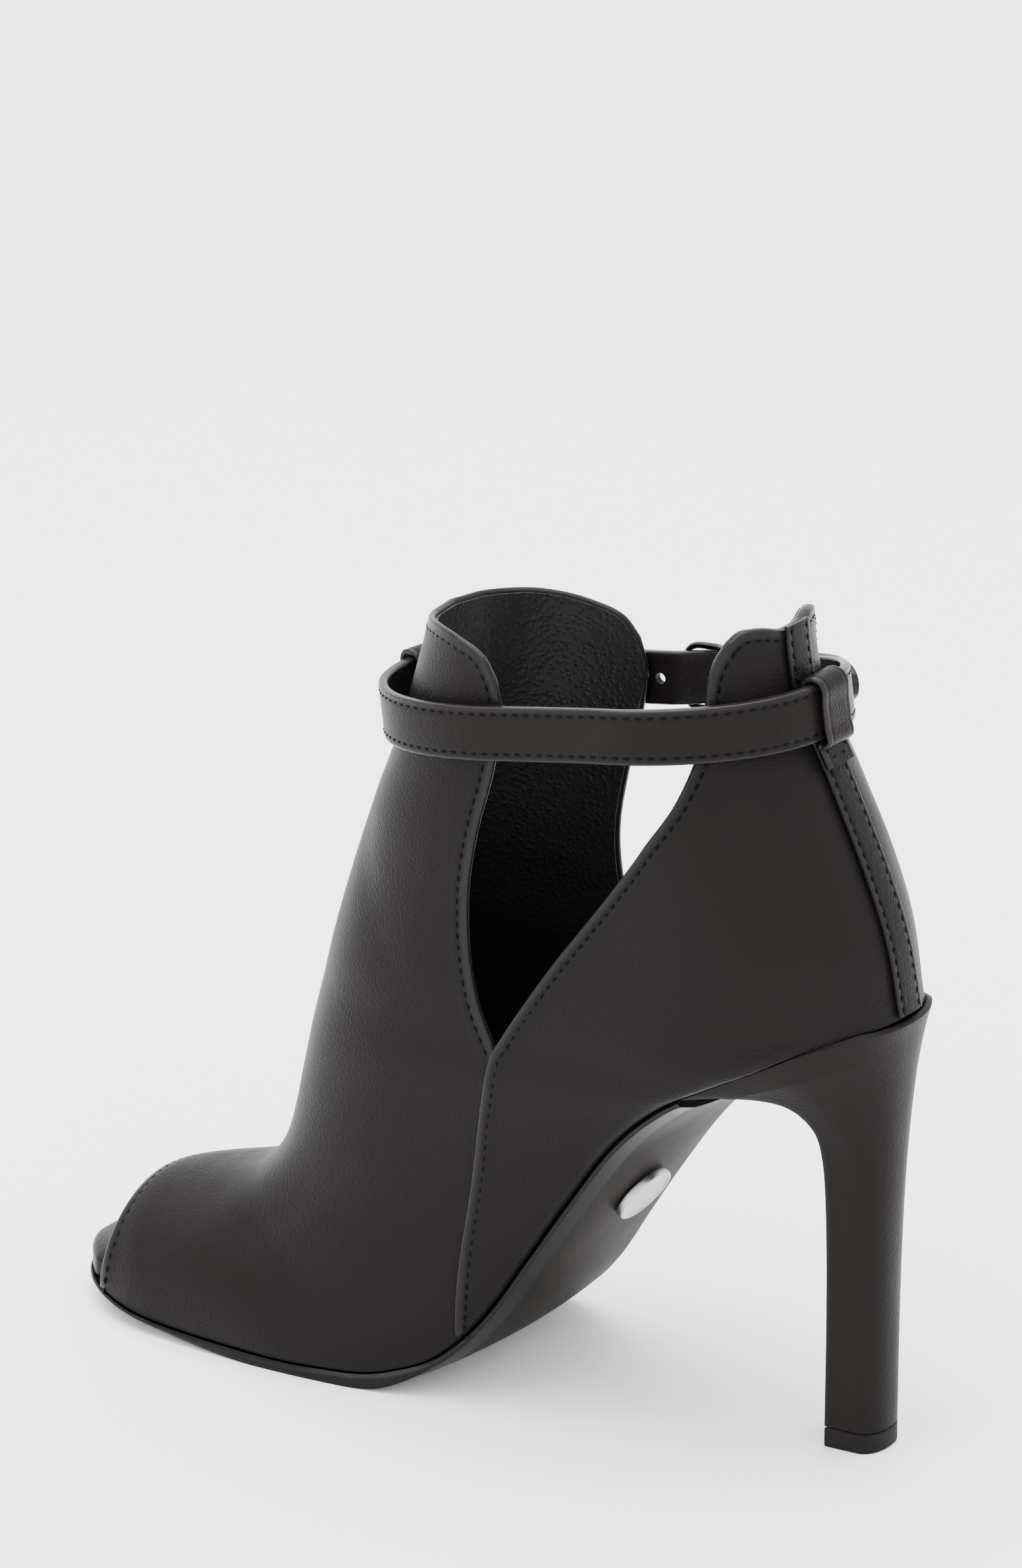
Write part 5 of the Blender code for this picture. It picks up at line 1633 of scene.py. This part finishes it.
@dataclass
class Sole:
    """Outsole, footbed and the disc under the shank."""

    edge: float = 0.0026
    lip: float = 0.0006
    shank_edge: float = 0.0018
    bevel: float = 0.0008
    camber: float = 0.0020
    start: float = 0.0485
    spring: float = 0.0062
    spring_place: float = 0.72
    spring_curve: float = 1.35
    tread_place: float = 0.51
    tread_run: float = 0.11
    waist_place: float = 0.63
    waist_run: float = 0.16
    pad_place: float = 0.40
    pad_run: float = 0.21
    bevel_share: float = 0.18
    edge_bulge: float = 0.00035
    overhang: float = 0.0016
    platform: float = 0.0064
    seat_pad: float = 0.0030
    seat_inset: float = 0.0050
    toe_inset: float = 0.0008
    rim_share: float = 0.965
    badge: float = 0.0150
    badge_height: float = 0.0016
    badge_along: float = 0.0785

    def grid(self, places: Array, across: Array, depth: Array, margin: Array | float) -> Array:
        """Surface under the sole edge line.

        Args:
            places: Places along the shoe.
            across: Shares from the inner edge, -1, to the outer, 1.
            depth: Depth below the line, along its normal.
            margin: Width added to the reach.

        Returns:
            Points by place and share.
        """
        point, _, down = LAST.profile(places)
        _, inner, outer, cant, sway = LAST.edge(places)
        reach = np.where(across < 0, (inner + margin)[:, None], (outer + margin)[:, None])
        return np.stack(
            [
                across * reach + sway[:, None],
                point[:, 0:1] + down[:, 0:1] * depth,
                point[:, 1:2] + down[:, 1:2] * depth - cant[:, None] * across,
            ],
            axis=-1,
        )

    def stations(self, start: float, end: float, count: int) -> Array:
        """Places along the sole, closer together round the toe.

        Args:
            start: First place.
            end: Last place.
            count: Places.

        Returns:
            Rising places.
        """
        fine = np.linspace(start, end, 901)
        toe = np.arccos(np.clip((LAST.length - fine) / LAST.toe_round, 0, 1))
        measure = fine / LAST.length + toe * 0.16
        return np.interp(np.linspace(measure[0], measure[-1], count), measure, fine)

    def outsole(self) -> None:
        """Build the outsole: glossy edge, bevel along the shank, satin underside."""
        places = self.stations(self.start, LAST.length - 0.0002, 220)
        margin = LEATHER.wall + self.lip
        share = places / LAST.length
        flat = ease((share - self.tread_place) / self.tread_run)[:, None]
        climb = np.clip((share - self.spring_place) / (1 - self.spring_place), 0, 1)[:, None]
        spring = climb**self.spring_curve * self.spring
        waist = ease((self.waist_place - share) / self.waist_run)[:, None]

        cols = np.sin(np.linspace(-1, 1, 61) * math.pi / 2)
        bevel = np.clip((1 - np.abs(cols)) / self.bevel_share, 0, 1)
        drop = self.shank_edge - self.edge + self.bevel * bevel + self.camber * (1 - cols**2)
        wide = np.broadcast_to(cols, (len(places), len(cols)))
        low = self.grid(places, wide, self.edge + waist * drop[None], margin)
        low[..., 2] = np.maximum(low[..., 2], 0.0) * (1 - flat) + spring * flat
        top = self.grid(places, wide[:, ::-4], np.full((len(places), 16), LEATHER.gap), margin)
        sides = []
        for start, end in ((low[:, -1], top[:, 0]), (top[:, -1], low[:, 0])):
            t = np.linspace(0, 1, 9)[1:-1]
            bulge = np.sin(t * math.pi)[None, :, None] * self.edge_bulge
            way = np.zeros_like(start)
            way[:, 0] = np.sign(start[:, 0] - low[:, 30, 0])
            t = t[None, :, None]
            sides.append(start[:, None] * (1 - t) + end[:, None] * t + way[:, None] * bulge)
        rings = np.concatenate((low, sides[0], top, sides[1]), axis=1)
        mark = np.concatenate((np.zeros(61), np.ones(7), np.ones(16), np.ones(7)))
        near = np.clip((np.abs(cols) - 0.80) / 0.05, 0, 1)
        edge_mark = np.broadcast_to(mark, rings.shape[:2]).copy()
        edge_mark[:, :61] = near[None] * waist
        shell = Shell()
        shell.tube(rings, edge_mark)
        shell.build("outsole_unit", SOLE, ("outsole",), "sole", angle=28.0)

    def insole(self) -> None:
        """Build the footbed with its wrapped front."""
        back = np.linspace(LAST.start + self.seat_inset, 0.060, 30)[:-1]
        places = np.concatenate((back, self.stations(0.060, LAST.length - self.toe_inset, 150)))
        cols = np.sin(np.linspace(-1, 1, 45) * math.pi / 2)
        wide = np.broadcast_to(cols, (len(places), len(cols)))
        thick = self.seat_pad + (self.platform - self.seat_pad) * ease(
            (places / LAST.length - self.pad_place) / self.pad_run)
        crown = np.sqrt(1 - (np.abs(cols) * 0.985) ** 8)
        toe = quarter_round((LAST.length + 0.0006 - places) / 0.016)
        rise = thick[:, None] * (0.35 + 0.65 * crown[None] * toe[:, None])
        covered = np.clip((LAST.length * self.rim_share - places) / 0.004, 0, 1)
        inward = (LEATHER.wall - LEATHER.gap) * (1 - covered) - 3 * LEATHER.gap * covered
        bottom = self.grid(places, wide, np.zeros_like(rise), inward)
        top = self.grid(places, wide, -rise, inward)
        reach = np.clip((places / LAST.length - 0.93) / 0.07, 0, 1)[:, None] ** 2 * self.overhang
        bottom[..., 1] += reach * 0.4
        top[..., 1] += reach
        shell = Shell()
        shell.tube(np.concatenate((bottom, top[:, ::-1]), axis=1))
        shell.build("insole_cover", FOOTBED, ("insole",), "insole_leather", angle=60.0)

    def disc(self) -> None:
        """Build the plain polished disc."""
        place = np.array([self.badge_along])
        point, _, down = LAST.profile(place)
        _, reach, _, cant, sway = (value[0] for value in LAST.edge(place))
        depth = self.shank_edge + self.bevel + self.camber + LEATHER.gap + 0.0002
        spot = np.array([sway, point[0, 0] + down[0, 0] * depth, point[0, 1] + down[0, 1] * depth])
        facing = unit(np.array([-cant / reach, *down[0]]))
        first = unit(np.cross(facing, np.array([0.0, 1.0, 0.3])))
        second = np.cross(facing, first)
        radius, high = self.badge / 2, self.badge_height
        profile = np.array(
            [
                (0.0, 0.0), (0.97, 0.0), (1.0, 0.06), (1.0, 0.84), (0.985, 0.96), (0.955, 1.0),
                (0.90, 1.0), (0.885, 0.97), (0.875, 0.90), (0.86, 0.88), (0.4, 0.88), (0.0, 0.88),
            ]
        )
        turn = np.linspace(0, 2 * math.pi, 97)
        ring = first * np.cos(turn)[:, None] + second * np.sin(turn)[:, None]
        rows = spot + ring[None] * (profile[:, 0] * radius)[:, None, None] + facing * (
            profile[:, 1] * high)[:, None, None]
        shell = Shell()
        shell.grid(rows)
        shell.build("badge_disc", STEEL, ("badge",), "disc_steel", angle=32.0)

    def build(self) -> None:
        """Build the sole's pieces."""
        self.outsole()
        self.insole()
        self.disc()


@dataclass
class Heel:
    """Covered heel and its top lift."""

    lift: float = 0.0050
    tip_width: float = 0.0150
    tip_front: float = 0.0208
    margin: float = 0.0008
    seat_gap: float = 0.00045
    seat_place: float = 0.035
    table: Array = tabled(
        # back_y, back_z, front_y, front_z, width, corner
        (0.0380, 0.000, 1.000, 0.000, 0.00, 0.62),
        (0.0370, 0.265, 0.982, 0.265, 0.02, 0.64),
        (0.0345, 0.495, 0.975, 0.495, 0.07, 0.68),
        (0.0312, 0.643, 0.990, 0.638, 0.15, 0.74),
        (0.0285, 0.748, 1.050, 0.718, 0.31, 0.84),
        (0.0255, 0.843, 1.290, 0.774, 0.56, 0.95),
        (0.0215, 0.915, 1.790, 0.784, 0.82, 1.04),
        (0.0165, 0.962, 2.290, 0.757, 1.00, 1.10),
    )

    def sections(self, rows: Array) -> tuple[Array, ...]:
        """Heel sections.

        Args:
            rows: Rows of the table, whole or between.

        Returns:
            Half width, back and front points, and corner rounding.
        """
        index = np.arange(len(self.table), dtype=float)
        back_y, back_z, front_y, front_z, width, corner = (
            smooth(index, self.table[:, i], rows) for i in range(6)
        )
        rise = LAST.seat_height - self.lift
        seat_half = LAST.edge(np.array([self.seat_place]))[1][0] + self.margin
        half = self.tip_width / 2 + width * (seat_half - self.tip_width / 2)
        return (half, back_y * LAST.length, self.lift + back_z * rise, front_y * self.tip_front,
                self.lift + front_z * rise, corner)

    def outline(self, half: Array, length: Array, corner: Array, count: int) -> tuple[Array, Array]:
        """Heel section in plan.

        Args:
            half: Half widths.
            length: Lengths from back to front.
            corner: Rounding of the back over the half width.
            count: Points from back to front.

        Returns:
            Shares from the back and half widths: a round back and nearly straight sides.
        """
        share = 1 - np.cos(np.linspace(0, 1, count) * math.pi / 2)
        return share, half * quarter_round(share * length / (corner * half), 2.2)

    def build(self) -> None:
        """Build the covered heel and the lift."""
        last = len(self.table) - 1.0
        rows = np.linspace(0, last, 110)
        half, back_y, back_z, front_y, front_z, corner = (value[:, None] for value in self.sections(rows))
        length = np.hypot(front_y - back_y, front_z - back_z)
        share, x = self.outline(half, length, corner, 40)
        y = back_y + share * (front_y - back_y)
        z = back_z + share * (front_z - back_z)
        seat_z, _, _, cant, _ = LAST.edge(np.clip(y[-1], LAST.start, None))
        seat = np.clip(rows - last + 1, 0, 1)[:, None]
        z = z + seat * (seat_z - self.seat_gap - z[-1])[None]
        tilt = cant[None] * seat / half
        right = np.stack([x, y, z - tilt * x], axis=-1)
        left = np.stack([-x, y, z + tilt * x], axis=-1)
        t = np.linspace(0, 1, 15)[1:-1][None, :, None]
        hollow = np.sin(t * math.pi) * 0.0002
        breast = right[:, -1:] * (1 - t) + left[:, -1:] * t
        breast[..., 1:2] -= hollow
        ring = np.concatenate((right, breast, left[:, :0:-1]), axis=1)
        # Edge mark at the breast's two corners, which lightens the heel leather there: a painted highlight.
        edge = np.exp(-((np.arange(ring.shape[1]) - 39.0) / 1.2) ** 2) + np.exp(
            -((np.arange(ring.shape[1]) - 53.0) / 1.2) ** 2)
        inner = ring[-1] + unit((ring[-1].mean(axis=0) - ring[-1]) * (1, 1, 0)) * 0.0011
        curl = ring[-1] * 0.45 + inner * 0.55 + np.array([0, 0, 0.00035])
        ring = np.concatenate((ring, curl[None], (inner + np.array([0, 0, 0.0006]))[None]))
        shell = Shell()
        shell.tube(ring, edge[None])
        shell.build("heel_cover", HEEL_LEATHER, ("heel",), "covered_heel", angle=40.0)
        base = ring[0] - np.array([0, 0, self.lift])
        middle = base.mean(axis=0)
        steps = [(0.0, -0.0004), (0.00035, 0.0), (self.lift - LEATHER.gap - 0.0003, 0.0),
                 (self.lift - LEATHER.gap, -0.0003)]
        rings = []
        for height, inset in steps:
            rings.append(base + unit(base - middle) * inset + np.array([0, 0, height]))
        shell = Shell()
        shell.tube(np.array(rings))
        shell.build("top_lift_rubber", LIFT, ("top_lift",), "top_lift", angle=30.0)


@dataclass
class Studio:
    """Floor, lights, world and camera."""

    distance: float = 2.235
    lens: float = 228.9
    target: tuple[float, float, float] = (0.0, 0.100, 0.090)
    shift_right: float = -0.0062
    shift_up: float = 0.0468
    azimuth: float = 31.4
    elevation: float = 20.2
    floor: float = 6.0
    daylight: float = 2.6
    sensor: float = 36.0
    near: float = 0.1
    far: float = 20.0
    boot_middle: tuple[float, float, float] = (0.0, 0.0, 0.09)
    lamps: tuple[tuple, ...] = (
        # name, place, width and height, watts
        ("top", (0.1, 0.3, 2.4), (2.6, 2.6), 150),
        ("side", (-1.5, 0.5, 0.6), (0.6, 1.2), 8),
        ("low", (-0.9, -1.6, 0.45), (0.9, 0.7), 4),
    )

    def lamp(
        self, name: str, place: tuple[float, float, float], size: tuple[float, float], power: float
    ) -> None:
        """Add a soft box aimed at the boot.

        Args:
            name: Name of the light.
            place: Its place.
            size: Width and height.
            power: Watts.
        """
        data = bpy.data.lights.new(name, "AREA")
        data.shape = "RECTANGLE"
        data.size, data.size_y = size
        data.energy = power
        item = placed(name, data)
        item.location = place
        item.rotation_mode = "QUATERNION"
        item.rotation_quaternion = (Vector(self.boot_middle) - Vector(place)).to_track_quat("-Z", "Y")

    def build(self) -> None:
        """Build the studio."""
        data = bpy.data.meshes.new("floor")
        half = self.floor / 2
        corners = [(-half, -half, 0), (half, -half, 0), (half, half, 0), (-half, half, 0)]
        data.from_pydata(corners, [], [(0, 1, 2, 3)])
        data.materials.append(FLOOR_PAPER.make())
        floor = placed("floor", data)
        world = bpy.data.worlds.new("studio")
        world.use_nodes = True
        world.node_tree.nodes["Background"].inputs[0].default_value = (1, 1, 1, 1)
        world.node_tree.nodes["Background"].inputs[1].default_value = self.daylight
        bpy.context.scene.world = world
        for lamp in self.lamps:
            self.lamp(*lamp)
        data = bpy.data.cameras.new("camera")
        camera = placed("camera", data)
        bpy.context.scene.camera = camera
        a, e = math.radians(self.azimuth), math.radians(self.elevation)
        back = np.array([-math.cos(a) * math.cos(e), -math.sin(a) * math.cos(e), math.sin(e)])
        right = np.array([math.sin(a), -math.cos(a), 0.0])
        up = np.cross(right, -back)
        target = np.array(self.target) + PLACE
        place = target + back * self.distance
        aim = target + right * self.shift_right + up * self.shift_up
        data.lens = self.lens
        data.sensor_width = self.sensor
        data.clip_start, data.clip_end = self.near, self.far
        camera.location = place
        camera.rotation_mode = "QUATERNION"
        ahead = unit(aim - place)
        side = unit(np.cross(ahead, np.array([0, 0, 1.0])))
        high = np.cross(side, ahead)
        camera.rotation_quaternion = Matrix((side, high, -ahead)).transposed().to_quaternion()


def main() -> None:
    """Build the boot's pieces in order, then the studio."""
    logging.basicConfig(level=logging.INFO, format="%(message)s")
    bpy.context.view_layer.update()
    for part in (Upper(), BackStrip(), Strap(), Sole(), Heel(), Studio()):
        LOG.info("building %s", type(part).__name__)
        part.build()
    bpy.context.view_layer.update()


if __name__ == "__main__":
    main()
